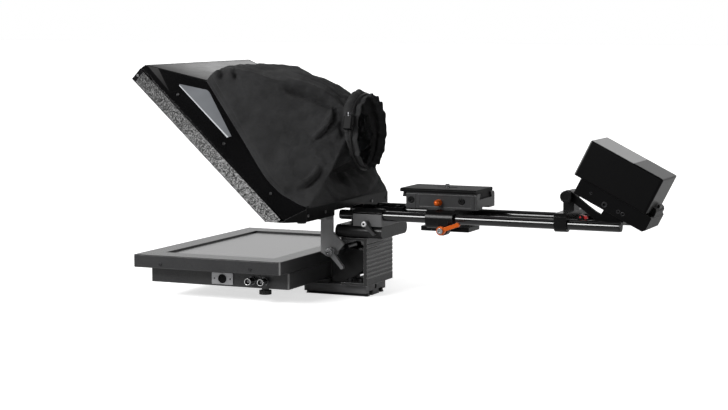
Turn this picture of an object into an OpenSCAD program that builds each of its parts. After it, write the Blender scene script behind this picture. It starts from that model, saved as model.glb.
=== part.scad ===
// Teleprompter: a talent monitor lying under a folding mirror hood with a cloth shroud,
// on a riser that also carries two rods with a camera base and a tilting battery bracket.
// Frame: origin at the tripod thread in the underside of the rail, +Z up,
// -Y towards the reader, +X to the operator's left. Millimetres.

/* [Base rail] */
// Width of the rail
rail_w = 78; // [72:1:90]
// Length of the rail along the camera axis
rail_l = 105; // [95:1:130]
// Height of the rail's slotted body
rail_body_h = 14; // [12:0.5:18]
// Height of the dovetail foot
foot_h = 5; // [4:0.5:7]
// Width of the dovetail foot where it meets the body
foot_neck_w = 56; // [48:1:60]
// Width of the dovetail foot at the bottom
foot_w = 64; // [58:1:68]
// Radius of the tripod thread (3/8 inch)
tripod_r = 4.76; // [3.17:0.01:5]
// Depth of the tripod thread
tripod_depth = 11; // [8:0.5:13]
// Radius of the second thread (1/4 inch)
side_thread_r = 3.175; // [3:0.005:4]
// Width of each slot along the rail
slot_w = 8; // [6:0.5:10]

/* [Riser] */
// Width of the riser across the camera axis
riser_w = 102; // [90:1:110]
// Depth of the riser along the camera axis
riser_d = 44; // [40:1:52]
// Height of the riser
riser_h = 74; // [66:1:90]
// How far the riser stands behind the rail's end
riser_overhang = 7.5; // [4:0.5:12]
// Thickness of the riser's top and bottom flanges
riser_flange = 4; // [3:0.5:5]
// Thickness of the riser's rear wall
riser_wall = 6; // [5:0.5:8]
// Number of grooves in the rear wall
groove_count = 9; // [6:1:11]
// Pitch of the grooves
groove_pitch = 6.6; // [5:0.1:7]
// Depth of a groove
groove_depth = 0.8; // [0.5:0.1:2]

/* [Saddle and rods] */
// Length of the saddle along the camera axis
saddle_l = 77; // [70:1:90]
// Height of the saddle
saddle_h = 19.5; // [16:0.5:24]
// Width of the saddle, rounded sides included
saddle_w = 106; // [96:1:110]
// How far the saddle stands behind the riser
saddle_overhang = 24; // [18:1:30]
// Diameter of the rods
rod_d = 15; // [12:0.5:19]
// Distance between the rod axes
rod_spacing = 90; // [84:1:110]
// Length of the rods
rod_length = 443; // [368:1:520]
// Height of the rod axes over the saddle
rod_lift = 16; // [14:0.5:20]
// Wall of a clamp outside the rod
clamp_wall = 3.5; // [3:0.5:6]
// Length of the front clamp
clamp_l = 47.5; // [36:0.5:50]
// Running clearance between a rod and its clamp, on the radius
rod_clear = 0.05; // [0.02:0.01:0.1]

/* [Hinge and arms] */
// Distance of the hinge axis in front of the riser
hinge_ahead = 10; // [8:0.5:14]
// Height of the hinge axis over the rail
hinge_h = 53.5; // [50:0.5:58]
// Radius of the hinge tube
hinge_tube_r = 9; // [8:0.5:11]
// Radius of the hinge pin
hinge_pin_r = 4; // [3:0.5:5]
// Radius of the yoke's round cheeks
cheek_r = 48; // [40:1:49]
// Thickness of a cheek
cheek_t = 6; // [4:0.5:8]
// Distance from the middle to a cheek
cheek_x = 22; // [18:1:26]
// Thickness of a hood arm
arm_t = 4; // [3:0.5:6]
// Width of a hood arm's upper part
arm_w = 20.5; // [16:0.5:24]
// Reach of a hood arm in front of the hinge axis
arm_front = 20; // [18:0.5:24]

/* [Monitor] */
// Width of the monitor across the camera axis
mon_w = 390; // [350:1:440]
// Depth of the monitor along the camera axis
mon_l = 250; // [230:1:300]
// Height of the bezel
bezel_h = 20; // [16:0.5:26]
// Height of the housing below the bezel
box_h = 25.5; // [20:0.5:32]
// Width of the bezel at the sides
bezel_side = 39; // [20:1:44]
// Width of the bezel at the reader's end
bezel_front = 34; // [20:1:40]
// Width of the bezel at the camera end
bezel_back = 29; // [20:1:40]
// Depth of the screen under the bezel's face
screen_recess = 2.5; // [1:0.5:5]
// Inset of the housing's sides under the bezel
box_side = 30; // [20:1:40]
// Inset of the housing's front under the bezel
box_front = 14; // [8:1:30]
// Wall of the monitor's two shells
shell_wall = 2.5; // [1.5:0.5:4]
// Thickness of the plate that carries the monitor
bracket_t = 5; // [4:0.5:8]
// Gap between the monitor and the hood arms
mon_gap = 4.5; // [3:0.5:8]

/* [Hood] */
// Angle of the mirror from the horizontal
hood_angle = 43; // [42:0.5:45]
// Width of the hood frame
frame_w = 364; // [340:1:440]
// Length of the hood frame along its slope
frame_l = 309; // [285:1:340]
// Thickness of the hood frame
frame_t = 22; // [18:0.2:27]
// Width of the frame's side members
frame_side = 24; // [18:1:30]
// Width of the frame's top and bottom members
frame_end = 18; // [14:1:24]
// Distance of the frame's foot in front of the hinge axis
frame_ahead = 55.5; // [50:0.5:60]
// Height of the frame's foot over the hinge axis
frame_rise = 54.6; // [52:0.1:60]
// Thickness of the glass
glass_t = 4; // [3:0.5:6]
// Lip that holds the glass at the front
glass_lip = 8; // [6:0.5:12]
// Lean of the wings from the frame's plane
wing_lean = 48; // [44:1:54]
// Thickness of the wings, top panel and base plate
sheet_t = 2; // [1.5:0.5:3]
// Lean of the top panel from the frame's plane
panel_lean = 27; // [24:1:30]
// Length of the top panel down its slope
panel_l = 84; // [76:1:90]
// Thickness of the loop tape
tape_t = 1.2; // [0.8:0.2:2]

/* [Shroud] */
// Radius of the shroud's collar
collar_r = 53; // [46:1:60]
// Distance of the collar's middle behind the hinge axis
collar_back = 34; // [28:1:40]
// Height of the collar's axis over the frame's foot
collar_rise = 127; // [120:1:134]
// Thickness of the cloth
cloth_t = 1.6; // [1:0.1:2]
// Number of gathers round the collar
gather_count = 13; // [8:1:20]

/* [Camera base] */
// Distance of the sled clamp behind the front clamp
sled_gap = 72; // [66:1:90]
// Length of the sled clamp along the rods
sled_l = 44; // [36:1:50]
// Length of the receiver
receiver_l = 114.5; // [110:0.5:125]
// Width of the receiver
receiver_w = 80; // [70:1:84]
// Height of the receiver
receiver_h = 24; // [20:0.5:28]
// Length of the camera plate
plate_l = 123; // [110:1:140]
// Thickness of the camera plate above the receiver
plate_t = 5.5; // [5:0.5:10]
// Radius of the camera screw (1/4 inch)
camera_screw_r = 3.175; // [3:0.005:4.765]
// Height of the camera screw over the plate
camera_screw_h = 5.5; // [4:0.5:6]
// Clearance of sliding and turning pieces
slip = 0.3; // [0.2:0.05:0.5]

/* [Battery bracket] */
// Distance of the rear clamp's front face behind the rods' front end
rear_clamp_at = 345; // [320:1:348]
// Length of the rear clamp along the rods
rear_clamp_l = 19; // [18:1:24]
// Height of the tilt axis over the rods
tilt_lift = 39.5; // [36:0.5:46]
// Tilt of the battery, down to the rear
tilt_angle = 26.8; // [20:0.1:32]
// Length of the battery
battery_l = 122; // [100:0.5:130]
// Height of the battery over its plate
battery_h = 58; // [45:0.5:70]
// Width of the battery
battery_w = 82; // [70:1:100]
// Length of the battery plate
batt_plate_l = 120; // [105:1:128]
// Thickness of the battery plate
batt_plate_t = 25; // [18:0.5:28]
// Gap between the battery plate and the rods, across
batt_rod_gap = 1.5; // [1:0.5:4]

/* [Hidden] */
$fn = 48;
eps = 0.01;
big = 900;

// Base, riser and saddle
rail_h = foot_h + rail_body_h;
riser_back_y = rail_l / 2 + riser_overhang;
riser_front_y = riser_back_y - riser_d;
riser_top_z = rail_h + riser_h;
saddle_back_y = riser_back_y + saddle_overhang;
saddle_front_y = saddle_back_y - saddle_l;
saddle_top_z = riser_top_z + saddle_h;
bolt_head_r = 4;
bolt_head_h = 4;
bolt_x = rail_w / 2 - 5.5;

// Rods and clamps
rod_r = rod_d / 2;
rod_x = rod_spacing / 2;
rod_z = saddle_top_z + rod_lift;
rod_front_y = saddle_front_y + 8;
rod_back_y = rod_front_y + rod_length;
rod_bore_r = rod_r + rod_clear;
clamp_w = rod_spacing + rod_d + 2 * clamp_wall;
clamp_back_y = saddle_back_y + 2;
clamp_front_y = clamp_back_y - clamp_l;
clamp_slit = 2;
clamp_split = 3.7;
cap_flange = 10;
cap_flange_h = 6;
cap_r = rod_r - 1.5;
cap_t = 2;

// Hinge and arms
hinge_y = riser_front_y - hinge_ahead;
hinge_z = rail_h + hinge_h;
arm_in_x = clamp_w / 2 + 1;
arm_out_x = arm_in_x + arm_t;
pin_clear = 0.05;

// Monitor
mon_back_y = hinge_y - arm_front - mon_gap;
mon_front_y = mon_back_y - mon_l;
box_z = rail_h + bracket_t;
bezel_z = box_z + box_h;
mon_top_z = bezel_z + bezel_h;
box_w = mon_w - 2 * box_side;
box_l = mon_l - box_front;
view_w = mon_w - 2 * bezel_side;
view_l = mon_l - bezel_front - bezel_back;
view_y = mon_front_y + bezel_front;
screen_t = 3;
screen_margin = 6;
socket_z = box_z + box_h * 0.45;
inlet_y = mon_back_y - 112;
video_y = [mon_back_y - 61, mon_back_y - 39.5];
inlet_r = 7.2;
inlet_w = 36;
inlet_h = 18;
video_r = 5.2;
video_l = 18;
edge_cut = 1;
knob_x = box_w / 2 - 15;
knob_y = mon_back_y - 47;
knob_r = 9.4;
knob_h = 6.2;
knob_neck = 4.5;

// Hood, in a frame that lies in the mirror's plane
foot_y = hinge_y - frame_ahead;
foot_z = hinge_z + frame_rise;
foot_tail = 26;
pocket_w = frame_w - 2 * frame_side;
glass_n = 6;
glass_gap = 0.5;
wing_step = sheet_t * tan(wing_lean) + 0.1;
base_z = foot_z;
base_top_z = base_z + sheet_t;
base_front_y = foot_y + 16;
base_side_y = foot_y + 32;
base_back_y = hinge_y + 1;
base_front_w = frame_w - 2;
base_back_w = frame_w - 50;
flange_h = 24;
wall_front_h = 4;
wall_back_h = flange_h - 6;
notch_half = rod_x + 10;
notch_d = 38;
notch_h = 8;
panel_n = frame_t + 7;
panel_half = frame_w / 2 - (panel_n - frame_t) * tan(wing_lean);
hood_knob_x = arm_in_x + 43;
hood_knob_y = base_back_y - 35;
hood_knob_r = 7;
hood_knob_h = 8;

// Camera base
sled_y = clamp_back_y + sled_gap;
sled_mid_y = sled_y + sled_l / 2;
sleeve_r = rod_r + 7;
receiver_z = rod_z + 14;
receiver_y = sled_mid_y - 60;
receiver_top_z = receiver_z + receiver_h;
channel_z = receiver_top_z - 8.5;
tongue_w = 54;
tongue_lean = 4;
plate_y = receiver_y - 11;
plate_top_z = receiver_top_z + slip + plate_t;
screw_y = receiver_y + 52.25;
button_y = receiver_y + 53.5;
button_z = receiver_z + 10;
button_r = 5;
lever_y = sled_mid_y + 7;
lever_z = rod_z - sleeve_r - 1.3;
lever_x = rod_x + sleeve_r + slip;
lever_t = 9;
lever_bolt_r = 2.5;
lug_r = 8;
receiver_screw_y = [8.5, 90];
receiver_screw_z = receiver_z + 12.5;
strip_y = [17, 105];
strip_w = 5;
strip_depth = 0.9;

// Battery bracket
rear_clamp_y = rod_front_y + rear_clamp_at;
tilt_y = rear_clamp_y + 10;
tilt_z = rod_z + tilt_lift;
tower_w = 28;
tilt_arm_t = 6;
tilt_arm_x = tower_w / 2 + slip;
batt_plate_w = rod_spacing - rod_d - 2 * batt_rod_gap;
batt_plate_s = 9.5;
batt_plate_n = 12.2;
batt_n = batt_plate_n + batt_plate_t + slip;
batt_s = batt_plate_s + batt_plate_l - battery_l - 9.6;
batt_round = 4;
wedge_w = 40;
wedge_h = 5;
red_y = rear_clamp_y + rear_clamp_l + 15;
red_z = rod_z + 10.5;
red_x = 22;
red_w = 12;

// Shroud: a ring of points follows wings, top panel and base, and closes in on the collar
cone_rings = 10;
collar_rings = 2;
collar_y = hinge_y + collar_back;
collar_z = foot_z + collar_rise;
collar_len = 18;
rim_lift = 1.8;
cord_ring_r = 1.6;
gather_depth = 0.045;

// Turn a point of the hood's own frame (across, up the slope, off the mirror) into the part's frame
function hood_point(u, v, n) = [u,
  foot_y - v * cos(hood_angle) + n * sin(hood_angle),
  foot_z + v * sin(hood_angle) + n * cos(hood_angle)];
function wing_u(n) = frame_w / 2 - (n - frame_t) * tan(wing_lean);
function on_wing(v, n, side) = let (lift_u = rim_lift * cos(wing_lean), lift_n = rim_lift * sin(wing_lean))
  hood_point(side * (wing_u(n) + lift_u), v, n + lift_n);
function panel_v(d) = frame_l - d * cos(panel_lean);
function panel_height(d) = panel_n + d * sin(panel_lean);
function on_panel(u, d) = hood_point(u, panel_v(d) + rim_lift * sin(panel_lean),
  panel_height(d) + rim_lift * cos(panel_lean));

// Stations of the rim down the wing: distance up the slope, as a share, and height over the frame
wing_rim = [[0.735, 44], [0.62, 38.8], [0.5, 33.8], [0.38, 28.5], [0.26, 22.6], [0.15, 18.5], [0.06, 18.8],
  [0.0, 22.4], [-0.05, 26]];
function rim_station(p, side) = on_wing(p[0] * frame_l, frame_t + p[1], side);
panel_rim_d = 74;
panel_rim_u = panel_half - 46;
base_rim_u = base_back_w / 2 - 11;
base_rim_z = foot_z + flange_h - 4;
base_rim_y = base_back_y + 0.4;
top_steps = 12;
base_steps = 11;
function rim_top(k) = on_panel(panel_rim_u * (2 * k / top_steps - 1), panel_rim_d);
function rim_base(k) = [base_rim_u * (1 - 2 * k / base_steps), base_rim_y, base_rim_z];
// Extra stations carry the rim round the corners of the panel and of the base flange
corner_out = 3;
function rim_corner(side) = let (n = panel_height(panel_rim_d))
  hood_point(side * (wing_u(n) + corner_out), panel_v(panel_rim_d), n + corner_out);
function rim_heel(side) = [side * (base_rim_u + 6), base_rim_y + 0.5, base_rim_z + 5];
rim = concat([for (k = [0:top_steps]) rim_top(k)],
  [rim_corner(1)],
  [for (p = wing_rim) rim_station(p, 1)],
  [rim_heel(1)],
  [for (k = [0:base_steps]) rim_base(k)],
  [rim_heel(-1)],
  [for (k = [len(wing_rim) - 1:-1:0]) rim_station(wing_rim[k], -1)],
  [rim_corner(-1)]);
rim_count = len(rim);

// Angle of each rim point round the collar, from the top
function around(k) = atan2(rim[k][0] * 1.25, (rim[k][2] - collar_z) + 20);
function gather(a) = 1 + gather_depth * cos(gather_count * a);
function ring_point(a, along) = [collar_r * gather(a) * sin(a), collar_y - collar_len + along,
  collar_z + collar_r * gather(a) * cos(a)];
// Slack of the cloth: it stands up over the top, swells at the sides and sags under the collar
puff_up = 26;
puff_out = 9;
puff_side = 4;
puff_back = 12;
sag = 4;
ripple = 3;
function slack(a, t) = let (
  up = max(0, cos(a)),
  down = max(0, -cos(a)),
  out = abs(sin(a)),
  bow = sin(180 * t))
  [sign(sin(a)) * puff_out * out * bow,
   puff_back * down * down * sin(180 * pow(t, 0.9)) + puff_side * out * bow,
   puff_up * up * sin(180 * pow(t, 0.75)) - sag * down * bow + ripple * sin(5 * a + 40) * bow * bow];
function cone_point(k, i) = let (t = i / cone_rings, a = around(k))
  rim[k] * (1 - t) + ring_point(a, 0) * t + slack(a, t);
function cloth_point(k, i) = i <= cone_rings ? cone_point(k, i)
  : ring_point(around(k), collar_len * (i - cone_rings) / collar_rings);
cloth_rings = cone_rings + collar_rings;
function wrap(k) = (k + rim_count) % rim_count;
function cloth_normal(k, i) = let (
  along = cloth_point(k, min(i + 1, cloth_rings)) - cloth_point(k, max(i - 1, 0)),
  across = cloth_point(wrap(k + 1), i) - cloth_point(wrap(k - 1), i),
  n = cross(across, along)) n / norm(n);
cloth_inside = [for (i = [0:cloth_rings]) for (k = [0:rim_count - 1]) cloth_point(k, i)];
cloth_outside = [for (i = [0:cloth_rings]) for (k = [0:rim_count - 1])
  cloth_point(k, i) + cloth_t * cloth_normal(k, i)];

// Place a flat outline that is drawn in Y and Z, with its thickness along X
module along_x(x, y = 0, z = 0) {
  translate([x, y, z]) rotate([90, 0, 90]) children();
}

// Place a flat outline that is drawn in X and Z, with its thickness along Y
module along_y(y) {
  translate([0, y, 0]) rotate([90, 0, 0]) mirror([0, 0, 1]) children();
}

module box(x0, x1, y0, y1, z0, z1) {
  translate([x0, y0, z0]) cube([x1 - x0, y1 - y0, z1 - z0]);
}

// Box that is centred across X
module wide_box(w, y0, y1, z0, z1) {
  box(-w / 2, w / 2, y0, y1, z0, z1);
}

module both_sides() {
  children();
  mirror([1, 0, 0]) children();
}

// The hood's own frame: X across, Y down the slope, Z off the mirror towards the camera
module hood_place() {
  translate([0, foot_y, foot_z]) rotate([-hood_angle, 0, 0]) children();
}

// The battery's own frame: origin on the tilt axis, Y along the plate, Z off the plate
module tilt_place() {
  translate([0, tilt_y, tilt_z]) rotate([-tilt_angle, 0, 0]) children();
}

// Rectangle from the origin with its corners cut at 45 degrees
module cut_rect(w, l, c) {
  polygon([[c, 0], [w - c, 0], [w, c], [w, l - c], [w - c, l], [c, l], [0, l - c], [0, c]]);
}

// Box centred across X, with all its edges cut
module cut_box(w, y0, y1, z0, z1, c) {
  intersection() {
    translate([-w / 2, y0, z0]) linear_extrude(z1 - z0) cut_rect(w, y1 - y0, c);
    along_x(-w / 2, y0, z0) linear_extrude(w) cut_rect(y1 - y0, z1 - z0, c);
    along_y(y0) translate([-w / 2, z0]) linear_extrude(y1 - y0) cut_rect(w, z1 - z0, c);
  }
}

module rounded_rect(w, l, r) {
  for (x = [-1, 1]) for (y = [-1, 1]) translate([x * (w / 2 - r), y * (l / 2 - r)]) circle(r);
  square([w - 2 * r, l], center = true);
  square([w, l - 2 * r], center = true);
}

// Clamp lever drawn in Y and Z: round hub at the origin, arm from its root width to the tip
module lever_outline(hub_r, tip, tip_r, root) {
  length = norm(tip);
  end = tip_r * 0.85;
  circle(hub_r);
  translate(tip) circle(tip_r);
  rotate(atan2(tip[1], tip[0])) polygon([[0, root], [length, end], [length, -end], [0, -root]]);
}

// Knurled thumb screw with its axis along Z: head below, then neck and stud
module thumb_screw(head_r, head_h, neck_r, neck_h, stud_r, stud_h, knurls) {
  difference() {
    cylinder(r = head_r, h = head_h);
    for (k = [0:knurls - 1]) rotate(k * 360 / knurls)
      translate([head_r, 0, -1]) cylinder(r = 0.8, h = head_h + 2);
  }
  translate([0, 0, head_h]) cylinder(r = neck_r, h = neck_h);
  translate([0, 0, head_h]) cylinder(r = stud_r, h = stud_h);
}

// Socket head screw with its axis along Z, head on top
module cap_screw(head_r, head_h) {
  difference() {
    cylinder(r = head_r, h = head_h);
    translate([0, 0, head_h * 0.4]) cylinder(r = head_r * 0.5, h = head_h, $fn = 6);
  }
}

// Base and riser

module rail_profile() {
  polygon([[-foot_w / 2, 0], [foot_w / 2, 0], [foot_neck_w / 2, foot_h], [rail_w / 2, foot_h],
    [rail_w / 2, rail_h - 1], [rail_w / 2 - 1, rail_h], [1 - rail_w / 2, rail_h], [-rail_w / 2, rail_h - 1],
    [-rail_w / 2, foot_h], [-foot_neck_w / 2, foot_h]]);
}

module t_slot() {
  translate([-slot_w / 2, -eps]) square([slot_w, 4]);
  translate([-slot_w / 2 - 3, 3]) square([slot_w + 6, 4.5]);
}

module dovetail_rail() {
  color("dimgray") difference() {
    along_y(-rail_l / 2) linear_extrude(rail_l) difference() {
      rail_profile();
      for (x = [-1, 1]) translate([x * rail_w * 0.24, 0]) t_slot();
    }
    translate([0, 0, -eps]) cylinder(r = tripod_r, h = tripod_depth + eps);
    translate([0, rail_l * 0.3, -eps]) cylinder(r = side_thread_r, h = tripod_depth + eps);
    for (x = [-1, 1]) for (y = [riser_front_y + 9, riser_back_y - riser_wall - 11])
      translate([x * bolt_x, y, rail_h - 6]) cylinder(r = 2.05, h = 7);
    translate([0, rail_l / 2 + eps, foot_h + 7]) rotate([90, 0, 0]) cylinder(r = 4, h = 3);
  }
}

// Rear wall outline: a row of fine grooves, each with a long lower flank
groove_up = 0.5;
groove_down = 1.5;
groove_floor = 0.2;
module riser_profile() {
  inner = riser_back_y - riser_wall;
  first = (riser_h - groove_pitch * (groove_count - 1)) / 2 + 2;
  difference() {
    translate([riser_front_y, rail_h]) square([riser_d, riser_h]);
    translate([riser_front_y - 1, rail_h + riser_flange])
      square([inner - riser_front_y + 1, riser_h - 2 * riser_flange]);
    for (k = [0:groove_count - 1]) translate([riser_back_y, rail_h + first + k * groove_pitch])
      polygon([[eps, groove_up], [eps, -groove_down], [-groove_depth, -groove_floor],
        [-groove_depth, groove_floor]]);
  }
  translate([inner - 7, riser_top_z - 18]) square([7.5, 2]);
  translate([riser_front_y, riser_top_z - 11]) square([3, 8]);
}

module riser() {
  color("gray") difference() {
    along_x(-riser_w / 2) linear_extrude(riser_w) riser_profile();
    for (x = [-1, 1]) for (y = [riser_front_y + 9, riser_back_y - riser_wall - 11])
      translate([x * bolt_x, y, rail_h - 1]) cylinder(r = 2.05, h = riser_flange + 2);
  }
}

module riser_bolts() {
  color("silver") for (x = [-1, 1]) for (y = [riser_front_y + 9, riser_back_y - riser_wall - 11])
    translate([x * bolt_x, y, rail_h + riser_flange]) {
      cap_screw(bolt_head_r, bolt_head_h);
      translate([0, 0, -riser_flange - 5]) cylinder(r = 2, h = riser_flange + 5.5);
    }
}

module saddle() {
  side_r = saddle_h / 2;
  color("black") along_y(saddle_front_y) linear_extrude(saddle_l) {
    translate([-saddle_w / 2 + side_r, riser_top_z]) square([saddle_w - saddle_h, saddle_h]);
    for (x = [-1, 1]) translate([x * (saddle_w / 2 - side_r), riser_top_z + side_r]) circle(side_r);
  }
}

// Lower half of the front clamp: a half bore for each rod, level with the caps' flanges inside
module clamp_profile() {
  half = clamp_w / 2;
  inner = rod_x - rod_r - cap_flange;
  low = rod_z + clamp_split - clamp_slit / 2;
  difference() {
    polygon([[-half, saddle_top_z], [half, saddle_top_z], [half, low], [rod_x, low], [rod_x, rod_z],
      [inner, rod_z], [inner - 4, rod_z - 6], [4 - inner, rod_z - 6], [-inner, rod_z], [-rod_x, rod_z],
      [-rod_x, low], [-half, low]]);
    for (x = [-1, 1]) translate([x * rod_x, rod_z]) circle(rod_bore_r);
  }
}

module front_clamp() {
  color("gray") along_y(clamp_front_y) linear_extrude(clamp_l) clamp_profile();
}

// Round cap over a rod: its flange lies on the clamp inside, and the slit is outside
module cap_profile() {
  inner = rod_x - rod_r - cap_flange;
  difference() {
    union() {
      translate([rod_x, rod_z]) circle(rod_r + clamp_wall);
      translate([inner, rod_z]) square([rod_x - inner, cap_flange_h]);
    }
    translate([rod_x, rod_z]) circle(rod_bore_r);
    translate([inner, rod_z - 2 * rod_d]) square([4 * rod_d, 2 * rod_d]);
    translate([rod_x, rod_z - 1]) square([rod_d, 1 + clamp_split + clamp_slit / 2]);
  }
}

module clamp_caps() {
  screw_x = rod_x - rod_r - cap_flange / 2;
  color("black") both_sides() {
    along_y(clamp_front_y) linear_extrude(clamp_l) cap_profile();
    for (y = [clamp_front_y + 9, clamp_back_y - 9])
      translate([screw_x, y, rod_z + cap_flange_h]) cap_screw(3, 3);
  }
}

front_lever_y = clamp_front_y + 22;
front_lever_z = saddle_top_z + 4.5;
module front_lever() {
  color("black") {
    along_x(clamp_w / 2 + slip, front_lever_y, front_lever_z) linear_extrude(4) circle(6);
    along_x(clamp_w / 2 + slip + 3, front_lever_y, front_lever_z) linear_extrude(6)
      lever_outline(5.6, [15, -14.7], 2.6, 3.6);
    along_x(clamp_w / 2 + slip + 8, front_lever_y, front_lever_z) cap_screw(3.6, 2.6);
  }
}

// Two round cheeks joined by a base and by the tube of the hood hinge
module cheek_outline() {
  intersection() {
    translate([hinge_y, hinge_z]) circle(cheek_r);
    translate([hinge_y - 16, rail_h]) square([riser_back_y - riser_wall - hinge_y + 14, hinge_h]);
  }
  translate([hinge_y, hinge_z]) circle(hinge_tube_r + 4);
  translate([hinge_y - 16, rail_h]) square([riser_front_y - hinge_y + 14, 7]);
}

module tilt_yoke() {
  color("black") difference() {
    union() {
      both_sides() along_x(cheek_x) linear_extrude(cheek_t) cheek_outline();
      wide_box(2 * cheek_x + 1, hinge_y - 16, riser_front_y - 2, rail_h, rail_h + 6);
      along_x(slip - arm_in_x, hinge_y, hinge_z) cylinder(r = hinge_tube_r, h = 2 * (arm_in_x - slip));
    }
    along_x(-big / 2, hinge_y, hinge_z) cylinder(r = hinge_pin_r + pin_clear, h = big);
  }
}

// Monitor

module monitor_bracket() {
  color("dimgray") wide_box(rail_w - 8, mon_back_y - 130, hinge_y - 17, rail_h, box_z);
}

module monitor_bezel() {
  depth = bezel_h - 4;
  color("dimgray") difference() {
    cut_box(mon_w, mon_front_y, mon_back_y, bezel_z, mon_top_z, edge_cut);
    wide_box(view_w, view_y, view_y + view_l, mon_top_z - 5, mon_top_z + 1);
    wide_box(mon_w - 2 * shell_wall, mon_front_y + shell_wall, mon_back_y - shell_wall,
      bezel_z + 2, bezel_z + depth - 1.5);
    wide_box(view_w + 2 * screen_margin + 1, view_y - screen_margin - 0.5,
      view_y + view_l + screen_margin + 0.5, bezel_z + 2, mon_top_z - screen_recess);
    wide_box(box_w - 2 * shell_wall - 8, mon_front_y + box_front + shell_wall + 4,
      mon_back_y - shell_wall - 4, bezel_z - 1, bezel_z + 3);
    for (y = [mon_back_y - 50.5, mon_back_y - 203.5]) both_sides()
      translate([mon_w / 2 - 6, y, bezel_z + 6.5]) rotate([0, 90, 0]) cylinder(r = 1.55, h = 7);
  }
}

module monitor_housing() {
  front = mon_back_y - box_l;
  color("dimgray") difference() {
    cut_box(box_w, front, mon_back_y, box_z, bezel_z, edge_cut);
    wide_box(box_w - 2 * shell_wall, front + shell_wall, mon_back_y - shell_wall,
      box_z + shell_wall, bezel_z + 1);
    along_x(box_w / 2 - 5, inlet_y, socket_z) cylinder(r = inlet_r + 1.1, h = 6);
    for (y = video_y) along_x(box_w / 2 - 5, y, socket_z) cylinder(r = 4.05, h = 6);
    for (x = [-1, 1]) translate([x * knob_x, knob_y, box_z - 1]) cylinder(r = 2.55, h = shell_wall + 2);
  }
}

module screen() {
  color("silver") wide_box(view_w + 2 * screen_margin, view_y - screen_margin,
    view_y + view_l + screen_margin, mon_top_z - screen_recess - screen_t, mon_top_z - screen_recess);
}

module lcd_panel() {
  color("white") wide_box(view_w + 2 * screen_margin - 4, view_y - screen_margin + 2,
    view_y + view_l + screen_margin - 2, bezel_z + 2, mon_top_z - screen_recess - screen_t);
}

board_posts = [[-45, -30], [45, -30], [-45, 30], [45, 30]];
module controller_board() {
  board_y = mon_back_y - box_l / 2;
  color("darkgreen") {
    wide_box(110, board_y - 40, board_y + 40, box_z + shell_wall + 5, box_z + shell_wall + 6.6);
    for (p = board_posts) translate([p[0], board_y + p[1], box_z + shell_wall]) cylinder(r = 3, h = 5.5);
    wide_box(30, board_y - 15, board_y + 15, box_z + shell_wall + 6, box_z + shell_wall + 9);
    box(-50, -34, board_y + 16, board_y + 36, box_z + shell_wall + 6, box_z + shell_wall + 15);
  }
}

module power_inlet() {
  color("silver") along_x(box_w / 2, inlet_y, socket_z) difference() {
    union() {
      linear_extrude(1.5) rounded_rect(inlet_w, inlet_h, 1.5);
      translate([0, 0, -4]) cylinder(r = inlet_r + 1, h = 5.8);
    }
    translate([0, 0, -5]) cylinder(r = inlet_r, h = 12);
    for (y = [-1, 1]) translate([y * (inlet_w / 2 - 4.5), 0, -1]) cylinder(r = 1.4, h = 4);
  }
}

module inlet_insert() {
  color("black") along_x(box_w / 2, inlet_y, socket_z) {
    translate([0, 0, -4]) cylinder(r = inlet_r - 0.02, h = 4.8);
    for (a = [45, 135, 225, 315]) rotate(a) translate([inlet_r * 0.55, 0, -2]) cylinder(r = 0.8, h = 3.6);
  }
}

module video_sockets() {
  color("silver") for (y = video_y) along_x(box_w / 2, y, socket_z) {
    cylinder(r = 7, h = 2.2, $fn = 6);
    translate([0, 0, -5]) cylinder(r = 4, h = 6);
    difference() {
      cylinder(r = video_r, h = video_l);
      translate([0, 0, 6]) cylinder(r = video_r - 1, h = video_l);
    }
    translate([0, 0, 5.5]) cylinder(r = 2.2, h = video_l - 8.5);
    for (a = [0, 180]) rotate(a) translate([video_r - 0.4, 0, video_l - 4.5])
      rotate([0, 90, 0]) cylinder(r = 1, h = 1.4);
  }
}

module bezel_screws() {
  color("dimgray") for (y = [mon_back_y - 50.5, mon_back_y - 203.5]) both_sides()
    translate([mon_w / 2, y, bezel_z + 6.5]) rotate([0, 90, 0]) {
      cap_screw(2.6, 1.2);
      translate([0, 0, -5]) cylinder(r = 1.5, h = 5.3);
    }
}

module monitor_knob(side) {
  color("black") translate([side * knob_x, knob_y, box_z - knob_h - knob_neck])
    thumb_screw(knob_r, knob_h, 5.5, knob_neck - slip, 2.5, knob_neck + 5.5, 24);
}

module monitor_knob_left() { monitor_knob(1); }
module monitor_knob_right() { monitor_knob(-1); }

// Hood

// Cut away everything below a level of the part's frame
module above(z) {
  difference() {
    children();
    box(-big, big, -big, big, z - big, z);
  }
}

module hood_frame() {
  color("black") above(base_top_z) difference() {
    hood_place() wide_box(frame_w, -frame_l, foot_tail, 0, frame_t);
    hood_place() wide_box(pocket_w, -frame_l + frame_end, -frame_end, glass_n, frame_t + 1);
    hood_place() wide_box(pocket_w - 2 * glass_lip, -frame_l + frame_end + glass_lip, -frame_end - glass_lip,
      -1, frame_t + 1);
    hood_place() translate([-big / 2, 12, frame_t]) rotate([-45, 0, 0]) cube([big, 60, 60]);
  }
}

module glass() {
  color("lightblue", 0.4) hood_place() wide_box(pocket_w - 2 * glass_gap, -frame_l + frame_end + glass_gap,
    -frame_end - glass_gap, glass_n, glass_n + glass_t);
}

module glass_retainers() {
  color("dimgray") hood_place() for (y = [-frame_l + frame_end, -frame_end - 9])
    wide_box(pocket_w, y, y + 9, glass_n + glass_t, glass_n + glass_t + 5);
}

module loop_tapes() {
  color("gray") above(foot_z + 0.4) both_sides() hood_place()
    box(frame_w / 2, frame_w / 2 + tape_t, 8 - frame_l, foot_tail - 11, 0.6, frame_t - 0.6);
}

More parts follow.
